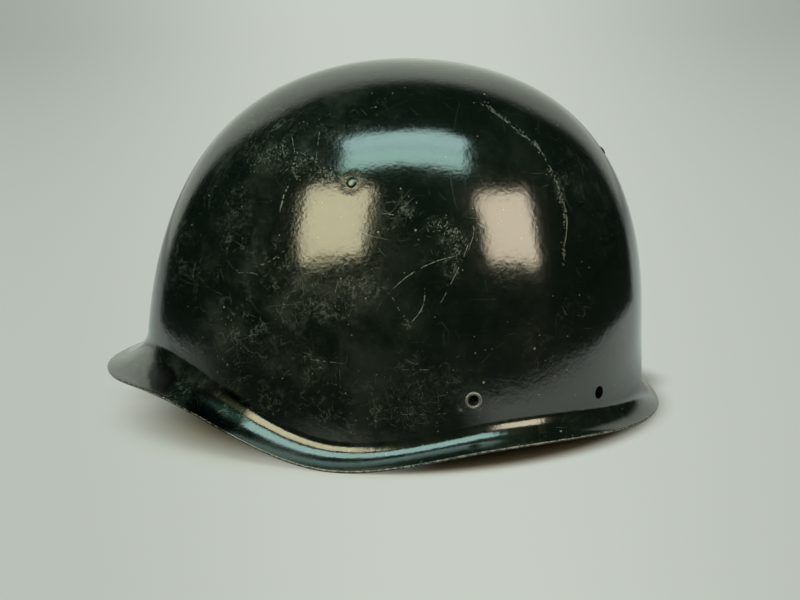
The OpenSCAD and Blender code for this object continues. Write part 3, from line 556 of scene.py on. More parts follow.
def paint_material():
    m = Material("gloss_black_paint")
    place = m.place()
    x, y, z = place.parts()
    left = x > 0.0

    # Each point is marked in the plane that it faces
    normal = VectorField(m, m.node("NewGeometry").outputs["Normal"])
    sideways, lengthways, upwards = (abs(part) for part in normal.parts())
    side_part = sideways > (lengthways | upwards)
    top_part = upwards > (sideways | lengthways)
    wobble = m.warp(place, 0.12, 2.0, 5.0)
    bx, by, bz = (place + wobble * 0.25).parts()
    plane = m.combine(m.blend(side_part, bx, by), m.blend(top_part, bz, by))

    # Scratches gather in patches
    patches = m.ramp(m.noise(place, 0.022, 3.0, 0.6), 0.40, 0.66)
    scratches = union(random_scratches(m, plane, *sizes) * (patches * more + least)
                      for sizes, more, least in RANDOM_SCRATCHES)
    # Wisps are the thin crests of a warped noise
    crest = m.noise(place + m.warp(place, 0.060, 4.0, 30.0), 0.085, 4.0, 0.6)
    wisps = m.ramp(abs(crest - 0.5), 0.002, 0.034, 1.0, 0.0)
    wisps *= m.ramp(m.noise(place, 0.13, 5.0, 0.7), 0.44, 0.60)

    flat = m.combine(y, z) + wobble * 0.5

    def spot(centre, reach, low, high, strength=1.0):
        """An oval seen from the side, which fades out between two shares of its reach."""
        away = ((flat - (*centre, 0)) / (*reach, 1)).length()
        return m.ramp(away, low, high, strength, 0.0)

    # A scuff is a crowd of short scratches and wisps over a dull ground
    scuffed = union(spot(centre, half, 0.35, 1.15, strength) for centre, half, strength in SCUFFS) * left
    crowd = random_scratches(m, plane, 1.4, 0.12, 2.4, 0.85, 7.0) | wisps
    rubbed = scuffed * (crowd * 0.30 + 0.70) * m.ramp(m.noise(place, 0.45, 6.0, 0.78, 1.2), 0.47, 0.66)
    # Elsewhere the front half of each side has more wisps than the rear
    wisps *= scuffed | (patches * m.ramp(y, -50.0, 30.0, 0.70, 0.25))
    specks = random_dots(m, place, 9.0, 0.45, 0.55, 3.0) | random_dots(m, place, 3.6, 0.24, 0.50, 71.0)
    specks |= m.ramp(m.noise(place + (40, 11, 7), 0.16, 5.0, 0.75), 0.72, 0.78)
    haze = m.ramp(m.noise(place + (9, 70, 31), 0.030, 4.0, 0.65), 0.43, 0.76)
    haze *= m.ramp(y, -50.0, 30.0, 1.7, 0.5)
    # Painted shade: on these flare patches the paint loses its reflection
    dull = union(spot(centre, reach, 0.72, 1.04) for centre, reach in REFLECTION_DARKENED_FLARES) * left

    # The brim's edge has lost its paint
    rim = Field(m, m.node("Attribute", {"attribute_name": "rim"}).outputs["Fac"])
    bare = m.ramp(rim - (m.noise(place, 0.45, 5.0, 0.75) - 0.50) * 3.4, -0.05, 0.30, 1.0, 0.0)
    chips = m.ramp(m.noise(place, 0.22, 6.0, 0.8) - rim * 0.030, 0.60, 0.63)
    bare |= chips * m.ramp(rim, 0.0, 6.0, 1.0, 0.0)
    # The sheet is drawn in a little round each rivet
    dimple = union(m.ramp(from_rivet(place, azimuth), 2.6, 7.5, 1.0, 0.0) for azimuth in LINER_RIVETS)

    colour = m.layers(
        PAINT, (haze * 0.15, DUST), (scratches * 0.60, SCRATCH), (rubbed * 0.42, SCRATCH),
        (wisps * 0.34, SCRATCH), (specks * 0.40, BARE), (bare * 0.50, WORN_EDGE), (dimple * 0.12, DUST),
    )
    rough = haze * 0.08 + 0.066 + m.noise(place, 0.35, 4.0, 0.7) * 0.09
    rough += m.ramp(m.noise(place, 1.3, 5.0, 0.75), 0.50, 0.70) * 0.07
    rough += dull * 0.12
    rough += (scratches | rubbed) * 0.35
    rough = m.math("MULTIPLY_ADD", bare, 0.35, rough, clamp=True)
    normal = m.bump(m.noise(place, 0.6, 3.0, 0.6), 0.05)
    normal = m.bump(m.noise(place, 0.16, 2.0, 0.5), 0.07, normal)
    normal = m.bump(m.noise(place, 0.018, 1.0, 0.4), 0.9, normal)
    normal = m.bump(1.0 - dimple, 0.12, normal)
    # Metallic black on the flare patches takes away their reflection, as painted shade
    return m.set(Base_Color=colour, Roughness=rough, Metallic=(bare * 0.5) | (dull * 0.95),
                 Normal=normal, Specular_IOR_Level=0.8)


def scratch_material(name, pale):
    m = Material(name)
    broken = m.ramp(m.noise(m.place(), 1.2, 5.0, 0.8), 0.40, 0.62)
    colour = m.layers((0.012, 0.017, 0.011, 1), (broken, pale))
    return m.set(Base_Color=colour, Roughness=0.45, Normal=m.bump(broken, 0.03))


def rivet_material(name, azimuth):
    """A painted rivet head: paint in its rim's corner, rubbed pale in the middle."""
    m = Material(name)
    place = m.place()
    ragged = (m.noise(place, 1.6, 4.0, 0.7) - 0.5) * 1.6
    worn = m.ramp(ragged + from_rivet(place, azimuth), 0.9, 1.9, 1.0, 0.0)
    colour = m.layers(PAINT, (worn, (0.20, 0.205, 0.17, 1)))
    return m.set(Base_Color=colour, Roughness=m.blend(worn, 0.16, 0.42), Metallic=worn * 0.4,
                 Normal=m.bump(m.noise(place, 1.2, 3.0), 0.08))


def inside_material():
    m = Material("dull_inside_paint")
    place = m.place()
    stain = m.ramp(m.noise(place, 0.03, 5.0, 0.65), 0.35, 0.7)
    rust = m.ramp(m.noise(place + (5, 9, 2), 0.09, 6.0, 0.75), 0.62, 0.72)
    colour = m.layers((0.014, 0.017, 0.014, 1), (stain, (0.030, 0.033, 0.026, 1)),
                      (rust * 0.6, (0.11, 0.055, 0.025, 1)))
    normal = m.bump(m.noise(place, 0.6, 4.0), 0.12)
    return m.set(Base_Color=colour, Roughness=stain * 0.2 + 0.42, Normal=normal)


def metal_material(name, colour, tarnish, rough, grain=1.2):
    m = Material(name)
    place = m.place()
    dull = m.ramp(m.noise(place, 0.25, 5.0, 0.7), 0.35, 0.68)
    pits = m.ramp(m.noise(place, grain, 4.0, 0.7), 0.60, 0.72)
    return m.set(Base_Color=m.layers(colour, (dull * 0.65, tarnish), (pits * 0.45, tarnish)),
                 Roughness=dull * 0.22 + rough, Metallic=0.9, Normal=m.bump(m.noise(place, grain, 3.0), 0.06))


def leather_material(name, colour, dark, rough):
    m = Material(name)
    place = m.place()
    tone = m.ramp(m.noise(place, 0.05, 4.0, 0.6), 0.3, 0.7)
    stain = m.ramp(m.noise(place + (31, 5, 17), 0.018, 3.0, 0.6), 0.45, 0.68)
    bent = place + m.noises(place, 0.8, 2.0) * 0.8
    grain = m.node("TexVoronoi", {"feature": "DISTANCE_TO_EDGE"}, Vector=bent, Scale=0.85)
    creases = m.ramp(Field(m, grain.outputs["Distance"]), 0.0, 0.16)
    leather = m.layers(colour, (tone, dark), (stain * 0.55, dark), ((1.0 - creases) * 0.30, dark))
    normal = m.bump(m.noise(place, 0.22, 4.0), 0.4, m.bump(creases, 0.14))
    return m.set(Base_Color=leather, Roughness=tone * 0.15 + rough, Normal=normal, Specular_IOR_Level=0.4)


def felt_material():
    m = Material("grey_felt")
    place = m.place()
    fibres = m.noise(place, 1.6, 6.0, 0.8, 1.2)
    patches = m.ramp(m.noise(place, 0.10, 4.0, 0.6), 0.4, 0.7)
    colour = m.layers((0.16, 0.165, 0.14, 1), (m.ramp(fibres, 0.3, 0.7), (0.34, 0.34, 0.30, 1)),
                      (patches * 0.4, (0.12, 0.115, 0.095, 1)))
    return m.set(Base_Color=colour, Roughness=0.95, Sheen_Weight=0.35, Sheen_Roughness=0.5,
                 Normal=m.bump(fibres, 0.6))


def thread_material():
    m = Material("waxed_linen_thread")
    place = m.place()
    settings = {"wave_type": "BANDS", "bands_direction": "DIAGONAL"}
    twist = Field(m, m.node("TexWave", settings, Vector=place, Scale=1.1, Distortion=1.5).outputs["Fac"])
    soil = m.ramp(m.noise(place, 0.06, 4.0, 0.6), 0.35, 0.7)
    colour = m.layers((0.46, 0.37, 0.23, 1), (soil, (0.20, 0.14, 0.08, 1)),
                      (twist * 0.35, (0.12, 0.085, 0.05, 1)))
    return m.set(Base_Color=colour, Roughness=0.7, Normal=m.bump(twist, 0.08))


paint = paint_material()
inside_paint = inside_material()
scratched_paint = scratch_material("scratched_paint", (0.165, 0.180, 0.145, 1))
chipped_paint = scratch_material("chipped_paint", (0.080, 0.090, 0.070, 1))
zinc = metal_material("zinc_plated_steel", (0.42, 0.43, 0.42, 1), (0.16, 0.15, 0.13, 1), 0.38)
wire_steel = metal_material("steel_wire", (0.46, 0.46, 0.45, 1), (0.14, 0.12, 0.10, 1), 0.30)
eyelet_steel = metal_material("worn_eyelet_steel", (0.30, 0.30, 0.27, 1), (0.045, 0.045, 0.038, 1), 0.38, 0.8)
brass = metal_material("dull_brass", (0.42, 0.30, 0.12, 1), (0.12, 0.08, 0.04, 1), 0.34)
liner_leather = leather_material("liner_leather", (0.33, 0.185, 0.085, 1), (0.13, 0.065, 0.028, 1), 0.48)
strap_leather = leather_material("strap_leather", (0.105, 0.050, 0.024, 1), (0.035, 0.018, 0.010, 1), 0.42)
felt = felt_material()
thread_linen = thread_material()


# The shell's mesh

HOLE_MARGIN = 0.4
EDGE_ROUNDING = ((-0.35, 0.0), (-0.10, 0.10), (0.0, 0.35))
EDGE_PROFILE = (*EDGE_ROUNDING, *((a, SHEET - t) for a, t in EDGE_ROUNDING[::-1]))


def shell_grid():
    azimuth = np.arange(COLUMNS) * 360 / COLUMNS
    outer = np.stack(
        [surface_row(azimuth, (k + 1) / DOME_ROWS, 0, RIM_LIFT) for k in range(DOME_ROWS)]
        + [surface_row(azimuth, 1, (k + 1) / FLARE_ROWS, RIM_LIFT) for k in range(FLARE_ROWS)]
    )
    outer_normals = row_normals(outer)
    inner = outer - SHEET * outer_normals
    along = unit(outer[-1] - outer[-2])
    edge = np.stack([outer[-1] + a * along - t * outer_normals[-1] for a, t in EDGE_PROFILE])
    return outer, inner, edge


def shell_mesh():
    outer, inner, edge = shell_grid()
    rows = [*outer[:-1], *edge, *inner[:-1][::-1]]
    crown = np.array([0, WALL_Y + CROWN_LEAN, CROWN_HEIGHT])
    points, faces = tipped_rows((crown, crown - [0, 0, SHEET]), rows)
    obj = new_object("helmet_shell", points * MM, faces, [paint, inside_paint])
    inside_from = len(outer) + len(edge) - 2
    slots = [0, 1] * COLUMNS + [int(i >= inside_from) for i in range(len(rows) - 1) for _ in range(COLUMNS)]
    obj.data.polygons.foreach_set("material_index", slots)
    return obj, edge[2] * MM


def barycentric(p, a, b, c):
    v0, v1, v2 = b - a, c - a, p - a
    d00, d01, d11 = v0.dot(v0), v0.dot(v1), v1.dot(v1)
    d20, d21 = v2.dot(v0), v2.dot(v1)
    base = d00 * d11 - d01 * d01
    if abs(base) < 1e-18:
        return 1, 0, 0
    v = (d11 * d20 - d01 * d21) / base
    w = (d00 * d21 - d01 * d20) / base
    return 1 - v - w, v, w


def keep_smooth_normals(obj, smooth_mesh, holes):
    """Gives the cut mesh the uncut one's normals, apart from the walls of the holes."""
    smooth_mesh.calc_loop_triangles()
    corners = [v.co.copy() for v in smooth_mesh.vertices]
    normals = [v.normal.copy() for v in smooth_mesh.vertices]
    triangles = [tuple(t.vertices) for t in smooth_mesh.loop_triangles]
    tree = BVHTree.FromPolygons(corners, triangles)
    mesh = obj.data

    @functools.cache
    def smooth_normal(vertex):
        where, _, index, _ = tree.find_nearest(mesh.vertices[vertex].co)
        a, b, c = triangles[index]
        weights = barycentric(where, corners[a], corners[b], corners[c])
        return (normals[a] * weights[0] + normals[b] * weights[1] + normals[c] * weights[2]).normalized()

    result = [None] * len(mesh.loops)
    for polygon in mesh.polygons:
        facet = polygon.normal.copy()
        wall = any((polygon.center - p).length < (r + HOLE_MARGIN) * MM and abs(facet.dot(n)) < 0.5
                   for p, n, r in holes)
        for loop in polygon.loop_indices:
            near = facet if wall else smooth_normal(mesh.loops[loop].vertex_index)
            result[loop] = near if near.dot(facet) > 0.3 else facet
    mesh.normals_split_custom_set(result)


def rim_attribute(obj, rim):
    """Stores how far each vertex is from the brim's edge, in millimetres."""
    tree = KDTree(len(rim))
    for k, point in enumerate(rim):
        tree.insert(point, k)
    tree.balance()
    values = [tree.find(v.co)[2] / MM for v in obj.data.vertices]
    obj.data.attributes.new("rim", "FLOAT", "POINT").data.foreach_set("value", values)


def make_shell():
    obj, rim = shell_mesh()
    smooth_mesh = obj.data.copy()
    places = (
        [(a, LINER_RIVET_HEIGHT, RIVET_HOLE) for a in LINER_RIVETS]
        + [(a, EYELET_HEIGHT, EYELET_HOLE) for a in EYELETS]
        + [(a, NAPE_HOLE_HEIGHT, NAPE_HOLE) for a in NAPE_HOLES]
    )
    holes = [(*on_shell(a, z), r) for a, z, r in places]
    drills = []
    for point, normal, radius in holes:
        facing = normal.to_track_quat("Z", "Y").to_matrix().to_4x4()
        drills.append(bore(Matrix.Translation(point) @ facing, radius, depth=12.0, segments=48))
    cut(obj, drills)
    obj.data.polygons.foreach_set("use_smooth", [True] * len(obj.data.polygons))
    keep_smooth_normals(obj, smooth_mesh, holes)
    rim_attribute(obj, rim)
    fit(obj, "shell_paint", "helmet", "shell")


# Slivers and flecks of lost gloss, laid on the paint of the wearer's left

SCRATCH_STEP = 0.6
SCRATCH_LIFT = 0.02
# Chances that a gap in a scratch begins and that it goes on
GAP_BEGINS = 0.20
GAP_GOES_ON = 0.66
CHIP_LIFT = 0.015
CHIP_CORNERS = 5
CHIPS_PER_MM = 2.4
CHIPS_PER_SQUARE_MM = 0.16
CHIP_CLEARANCE = 1.5
SIDE_AZIMUTHS = np.linspace(20, 165, 291)


def left_azimuth(y, z):
    """The azimuth on the wearer's left at which the shell passes a point seen from that side."""
    angles = angle_at(SIDE_AZIMUTHS, np.full_like(SIDE_AZIMUTHS, z))
    return np.interp(y, dome_point(SIDE_AZIMUTHS, angles)[:, 1], SIDE_AZIMUTHS)


def laid(y, z, lift):
    """The point of the paint at a place seen from the left, lifted off it by some millimetres."""
    place, normal = on_shell(left_azimuth(y, z), z)
    return tuple(place + normal * lift * MM)


def bent_line(start, middle, end):
    """The point and the heading at each share of a line that is bent through its middle point."""
    bend = [2 * b - (a + c) / 2 for a, b, c in zip(start, middle, end)]

    def at(t):
        point = [(1 - t) ** 2 * a + 2 * t * (1 - t) * b + t * t * c for a, b, c in zip(start, bend, end)]
        heading = [2 * (1 - t) * (b - a) + 2 * t * (c - b) for a, b, c in zip(start, bend, end)]
        return *point, *heading
    return at


def make_scratches():
    """The longest scratches, as slivers that are thinned out here and there."""
    rng = random.Random(17)
    points, faces = [], []
    for start, middle, end, width, strength in LONG_SCRATCHES:
        line = bent_line(start, middle, end)
        count = max(6, int(math.dist(start, end) / SCRATCH_STEP))
        gap = False
        for k in range(count + 1):
            t = k / count
            y, z, dy, dz = line(t)
            run = math.hypot(dy, dz)
            half = width * (0.35 + strength * 0.80) * (1 - (2 * t - 1) ** 6) * rng.uniform(0.35, 1.0) / 2
            shift = rng.uniform(-0.10, 0.10)
            for side in (-1, 1):
                off = shift + side * (half + 0.02)
                points.append(laid(y - dz / run * off, z + dy / run * off, SCRATCH_LIFT))
            gap = rng.random() < (GAP_GOES_ON if gap else GAP_BEGINS)
            if k and not gap:
                last = len(points) - 4
                faces.append((last, last + 1, last + 3, last + 2))
    fit(new_object("paint_scratches", points, faces, [scratched_paint]), "shell_paint", "helmet")


def make_chips():
    """Small flecks: along the trails of chips, and over the scuffed patches."""
    rng = random.Random(29)
    spots = []
    for start, middle, end, stray in CHIP_TRAILS:
        line = bent_line(start, middle, end)
        clusters = [rng.random() for _ in range(5)]
        for _ in range(int(math.dist(start, end) * CHIPS_PER_MM)):
            y, z = line(min(max(rng.choice(clusters) + rng.gauss(0, 0.07), 0.0), 1.0))[:2]
            spots.append((y + rng.gauss(0, stray / 2), z + rng.gauss(0, stray / 2), rng.uniform(0.12, 0.42)))
    for centre, half, strength in SCUFFS:
        clusters = [(rng.gauss(0, 0.55), rng.gauss(0, 0.55)) for _ in range(7)]
        for _ in range(int(math.pi * half[0] * half[1] * strength * CHIPS_PER_SQUARE_MM)):
            across, up = rng.choice(clusters)
            y = centre[0] + half[0] * (across + rng.gauss(0, 0.22))
            z = centre[1] + half[1] * (up + rng.gauss(0, 0.22))
            spots.append((y, z, 0.07 + 0.28 * rng.random() ** 3))
    points, faces = [], []
    for y, z, size in spots:
        azimuth = left_azimuth(y, z)
        flare_top = rim_rise(azimuth) + RIM_LIFT + around(azimuth, *FILLETS, FILLET_POWER)
        if z < flare_top + CHIP_CLEARANCE:
            continue
        turn, stretch = rng.uniform(0, math.tau), rng.uniform(1.0, 2.6)
        faces.append(tuple(range(len(points), len(points) + CHIP_CORNERS)))
        for k in range(CHIP_CORNERS):
            corner, reach = k / CHIP_CORNERS * math.tau, size * rng.uniform(0.55, 1.0)
            along, across = reach * stretch * math.cos(corner), reach * math.sin(corner)
            sy = y + along * math.cos(turn) - across * math.sin(turn)
            sz = z + along * math.sin(turn) + across * math.cos(turn)
            points.append(laid(sy, sz, CHIP_LIFT))
    fit(new_object("paint_chips", points, faces, [chipped_paint]), "shell_paint", "helmet")


make_shell()
make_scratches()
make_chips()


# The oval of the liner hoop, in millimetres, as in the part's source

HOOP_HALF_WIDTH = 87.0
HOOP_HALF_LENGTH = 107.0
HOOP_END_RADIUS = 72.0
HOOP_Y = 9.0
HOOP_BASE = 46.0
HOOP_TOP = 66.0
HOOP_SHEET = 1.0
FELT = 5.0
LEATHER = 1.6
SEAT_GAP = 0.25
HOOP_CORNER_X = HOOP_HALF_WIDTH - HOOP_END_RADIUS
HOOP_CORNER_Y = HOOP_HALF_LENGTH - HOOP_END_RADIUS
HOOP_SIDE_SHIFT = (HOOP_CORNER_Y**2 - HOOP_CORNER_X**2) / (2 * HOOP_CORNER_X)
HOOP_SIDE_RADIUS = HOOP_HALF_WIDTH + HOOP_SIDE_SHIFT
HOOP_TURN = math.atan2(HOOP_CORNER_Y, HOOP_SIDE_SHIFT)
FELT_FACE = -HOOP_SHEET - SEAT_GAP
LEATHER_FACE = FELT_FACE - FELT - SEAT_GAP
BAND_BASE = HOOP_BASE - LEATHER - SEAT_GAP
BAND_TOP = BAND_BASE + 32.0
BAND_MIDDLE = LEATHER_FACE - LEATHER / 2
TURN_UP = 7.0
OVAL_LENGTH = 4 * (HOOP_SIDE_RADIUS * HOOP_TURN + HOOP_END_RADIUS * (math.pi / 2 - HOOP_TURN))
SHARP = math.radians(40)
STITCH_PITCH = 3.4
STITCH_LENGTH = 2.3
THREAD = 0.30
THREAD_SIDES = 6
THREAD_SHARP = math.radians(60)
# Along each stitch: share of its length, height over the surface and radius, in shares of the thread's radius
STITCH_SHARES = np.array([0, 0.18, 0.5, 0.82, 1])
STITCH_HEIGHTS = np.array([-0.10, 0.55, 0.75, 0.55, -0.10])
STITCH_RADII = (0.7, 1, 1, 1, 0.7)


def oval_point(turn, grow):
    s, c = np.sin(turn), np.cos(turn)
    on_side = np.abs(s) < math.sin(HOOP_TURN)
    centre_x = np.where(on_side, np.where(c < 0, HOOP_SIDE_SHIFT, -HOOP_SIDE_SHIFT), 0)
    centre_y = np.where(on_side, 0, np.where(s < 0, -HOOP_CORNER_Y, HOOP_CORNER_Y))
    radius = np.where(on_side, HOOP_SIDE_RADIUS, HOOP_END_RADIUS) + grow
    return centre_x + radius * c, centre_y + radius * s + HOOP_Y


def oval_turn(share):
    """The direction, in radians, at a share of the oval's length."""
    quarters = np.mod(share, 1) * 4
    quarter = np.floor(quarters).astype(int)
    part = quarters - quarter
    part = np.where(quarter % 2 == 1, 1 - part, part)
    run = part * OVAL_LENGTH / 4
    side_run = HOOP_SIDE_RADIUS * HOOP_TURN
    turn = np.where(run < side_run, run / HOOP_SIDE_RADIUS, HOOP_TURN + (run - side_run) / HOOP_END_RADIUS)
    return np.choose(quarter % 4, (turn, math.pi - turn, math.pi + turn, math.tau - turn))


def around_oval(shares, profile):
    """Sections of a strip that follows the oval. The profile holds (outwards, height) points."""
    turn = oval_turn(shares)[:, None]
    grow, height = np.array(profile).T
    x, y = oval_point(turn, grow[None, :])
    return np.stack([x, y, np.broadcast_to(height, x.shape)], -1)


def waves(points, seed, size, length):
    """A smooth small displacement, the same on each run. Sizes in millimetres."""
    rng = np.random.default_rng(seed)
    result = np.zeros(points.shape)
    for _ in range(5):
        direction = unit(rng.normal(size=3)) * math.tau / (length * rng.uniform(0.6, 1.6))
        result += np.sin(points @ direction + rng.uniform(0, math.tau))[..., None] * unit(rng.normal(size=3))
    return result * size / 5


def swept(name, sections, material, closed):
    """A solid from sections, each a closed ring of points in millimetres."""
    sections = np.asarray(sections)
    faces = tube_faces(*sections.shape[:2], closed)
    obj = new_object(name, sections.reshape(-1, 3) * MM, faces, [material])
    tidy_faces(obj)
    return obj


def tidy_faces(obj, sharp=SHARP):
    bm = bmesh.new()
    bm.from_mesh(obj.data)
    bmesh.ops.remove_doubles(bm, verts=bm.verts, dist=1e-7)
    bmesh.ops.recalc_face_normals(bm, faces=bm.faces)
    bm.to_mesh(obj.data)
    bm.free()
    obj.data.polygons.foreach_set("use_smooth", [True] * len(obj.data.polygons))
    obj.data.set_sharp_from_angle(angle=sharp)


def rounded_strip(half, thick, corner, crease):
    """Profile of a strip as (across, up) points, with rounded edges and a pressed line along them."""
    arc = [math.radians(t) for t in (0, 22, 45, 68, 90)]
    up = thick / 2
    quarter = [(half - corner + corner * math.cos(t), up - corner + corner * math.sin(t)) for t in arc]
    face = [(half - crease + 0.35, up), (half - crease, up - 0.18), (half - crease - 0.35, up)]
    face += [(half * 0.5, up), (0, up)]
    right_top = quarter + face
    top = right_top + [(-x, z) for x, z in right_top[-2::-1]]
    return top + [(-x, -z) for x, z in top]


def ribbon(name, path, across, profile, widths=1.0, closed=False):
    """A leather strip along a path. Its widths are shares of the profile's."""
    ahead = np.roll(path, -1, 0) - np.roll(path, 1, 0)
    if not closed:
        ahead[0], ahead[-1] = path[1] - path[0], path[-1] - path[-2]
    along = unit(ahead)
    side = unit(across - (across * along).sum(-1, keepdims=True) * along)
    face = np.cross(along, side)
    widths = np.broadcast_to(widths, len(path))
    sections = [[p + x * k * s + z * f for x, z in profile] for p, s, f, k in zip(path, side, face, widths)]
    return swept(name, sections, strap_leather, closed)


def notch(obj, *cutters):
    cut(obj, cutters)
    obj.data.set_sharp_from_angle(angle=SHARP)


def box_cutter(low, high):
    corners = [(x, y, z) for x in (low[0], high[0]) for y in (low[1], high[1]) for z in (low[2], high[2])]
    faces = [(0, 1, 3, 2), (4, 6, 7, 5), (0, 4, 5, 1), (2, 3, 7, 6), (0, 2, 6, 4), (1, 5, 7, 3)]
    return new_object("cutter", np.array(corners) * MM, faces, [], smooth=False)


def stitches(name, rows):
    """Thread laid over the liner's leather. Each row is (points, normals) along the surface."""
    points, faces = [], []
    turns = np.arange(THREAD_SIDES) * math.tau / THREAD_SIDES
    for path, normals in rows:
        path, normals = np.asarray(path, float), unit(np.asarray(normals, float))
        steps = np.linalg.norm(np.diff(path, axis=0), axis=1)
        run = np.concatenate([[0], np.cumsum(steps)])
        count = int((run[-1] - STITCH_LENGTH) / STITCH_PITCH)
        start = (run[-1] - count * STITCH_PITCH - STITCH_LENGTH) / 2
        for k in range(count + 1):
            at = start + k * STITCH_PITCH + STITCH_LENGTH * STITCH_SHARES
            centre = np.stack([np.interp(at, run, path[:, i]) for i in range(3)], -1)
            normal = unit(np.stack([np.interp(at, run, normals[:, i]) for i in range(3)], -1))
            centre += normal * (STITCH_HEIGHTS * THREAD)[:, None]
            side = unit(np.cross(unit(centre[-1] - centre[0]), normal))
            faces += tube_faces(len(STITCH_SHARES), THREAD_SIDES, False, len(points))
            for c, n, s, r in zip(centre, normal, side, STITCH_RADII):
                points += [c + THREAD * r * (math.cos(t) * n + math.sin(t) * s) for t in turns]
    obj = new_object(name, np.array(points) * MM, faces, [thread_linen])
    tidy_faces(obj, THREAD_SHARP)
    fit(obj, "liner_leather", "helmet")


# The liner: felt, sweatband, tongues and crown patch

OVAL_STEPS = np.arange(300) / 300
BAIL_NOTCH = 8.0
NOTCH_DEPTH = 6.0


def arc_points(centre, radius, first, last, steps=6):
    """Points on an arc, in degrees."""
    turns = [math.radians(first + (last - first) * k / steps) for k in range(steps + 1)]
    return [(centre[0] + radius * math.cos(t), centre[1] + radius * math.sin(t)) for t in turns]


def make_felt():
    inner, outer = FELT_FACE - FELT, FELT_FACE
    low, high, corner = HOOP_BASE, HOOP_TOP - 2, 1.0
    profile = arc_points((outer - corner, high - corner), corner, 0, 90, 4)
    profile += [(outer - FELT / 2, high)]
    profile += arc_points((inner + corner, high - corner), corner, 90, 180, 4)
    profile += [(inner, low + (high - low) * k / 6) for k in range(5, 0, -1)]
    profile += arc_points((inner + corner, low + corner), corner, 180, 270, 4)
    profile += [(outer - FELT / 2, low)]
    profile += arc_points((outer - corner, low + corner), corner, 270, 360, 4)
    profile += [(outer, low + (high - low) * k / 6) for k in range(1, 6)]
    sections = around_oval(OVAL_STEPS, profile)
    sections = sections + waves(sections, 5, 0.22, 14) + waves(sections, 6, 0.12, 4)
    obj = swept("felt_strip", sections, felt, closed=True)
    fit(obj, "felt", "helmet", "felt_band")


def make_sweatband():
    """One leather strip: up the inside, folded under the hoop and turned up outside it."""
    inner, face = LEATHER_FACE - LEATHER, LEATHER_FACE
    outer = SEAT_GAP + LEATHER
    base, floor = BAND_BASE, BAND_BASE + LEATHER
    lip = floor + SEAT_GAP + TURN_UP
    fold, tight, lip_round, top_round = 1.5, 0.2, 0.5, 0.6
    profile = arc_points((outer - lip_round, lip - lip_round), lip_round, 0, 90, 3)
    profile += arc_points((SEAT_GAP + lip_round, lip - lip_round), lip_round, 90, 180, 3)
    profile += [(SEAT_GAP, floor + tight + 3)]
    profile += arc_points((SEAT_GAP - tight, floor + tight), tight, 360, 270, 2)
    profile += [(FELT_FACE, floor), (FELT_FACE - FELT / 2, floor)]
    profile += arc_points((face + tight, floor + tight), tight, 270, 180, 2)
    profile += [(face, floor + (BAND_TOP - floor) * k / 6) for k in range(1, 6)]
    profile += arc_points((face - top_round, BAND_TOP - top_round), top_round, 0, 90, 3)
    profile += arc_points((inner + top_round, BAND_TOP - top_round), top_round, 90, 180, 3)
    profile += [(inner, base + fold + (BAND_TOP - base - fold) * k / 8) for k in range(7, 0, -1)]
    profile += arc_points((inner + fold, base + fold), fold, 180, 270, 5)
    profile += [(FELT_FACE - FELT / 2, base), (FELT_FACE, base)]
    profile += arc_points((outer - fold, base + fold), fold, 270, 360, 5)
    profile += [(outer, floor + 3)]
    sections = around_oval(OVAL_STEPS, profile)
    sections = sections + waves(sections, 11, 0.10, 30)
    obj = swept("leather_sweatband", sections, liner_leather, closed=True)
    edge = HOOP_HALF_WIDTH - 0.1
    low, high = BAND_BASE - 1, BAND_BASE - 1 + TURN_UP + 4 * LEATHER
    notch(obj, *(box_cutter((x, HOOP_Y - BAIL_NOTCH, low), (x + NOTCH_DEPTH, HOOP_Y + BAIL_NOTCH, high))
                 for x in (edge, -edge - NOTCH_DEPTH)))
    fit(obj, "liner_leather", "helmet", "sweatband")

    share = np.arange(0, 601) / 600
    turn = oval_turn(share)
    inwards = -np.stack([np.cos(turn), np.sin(turn), 0 * turn], -1)

    def row(grow, z):
        x, y = oval_point(turn, grow)
        return np.stack([x, y, np.full_like(x, z)], -1)

    top_seam, low_seam = BAND_TOP - 2.6, BAND_BASE + 3.2
    rows = [(row(inner, top_seam), inwards), (row(inner, low_seam), inwards), (row(face, top_seam), -inwards)]
    stitches("sweatband_stitches", rows)


TONGUES = 8
TONGUE_SHARE = 0.9
TONGUE_NARROWING = 0.3
TONGUE_COLUMNS = 5
TONGUE_END = math.radians(80)
TONGUE_POWER = 0.9
TONGUE_RISE = 75.0


def tongue_point(k, column, climb, grow):
    """Point of tongue k. column goes from 0 to 5, climb from 0 to 1, grow is along the thickness."""
    column, climb, grow = np.broadcast_arrays(np.asarray(column, float), climb, grow)
    rise = climb * TONGUE_END
    closing = np.cos(rise) ** TONGUE_POWER
    width = 1 - TONGUE_NARROWING * climb**2
    share = (k + 0.5 + TONGUE_SHARE * width * (column / TONGUE_COLUMNS - 0.5)) / TONGUES
    x, y = oval_point(oval_turn(share), BAND_MIDDLE + grow * np.cos(rise))
    z = BAND_TOP + TONGUE_RISE * np.sin(rise) ** TONGUE_POWER + grow * np.sin(rise)
    return np.stack([x * closing, HOOP_Y + (y - HOOP_Y) * closing, z], -1)


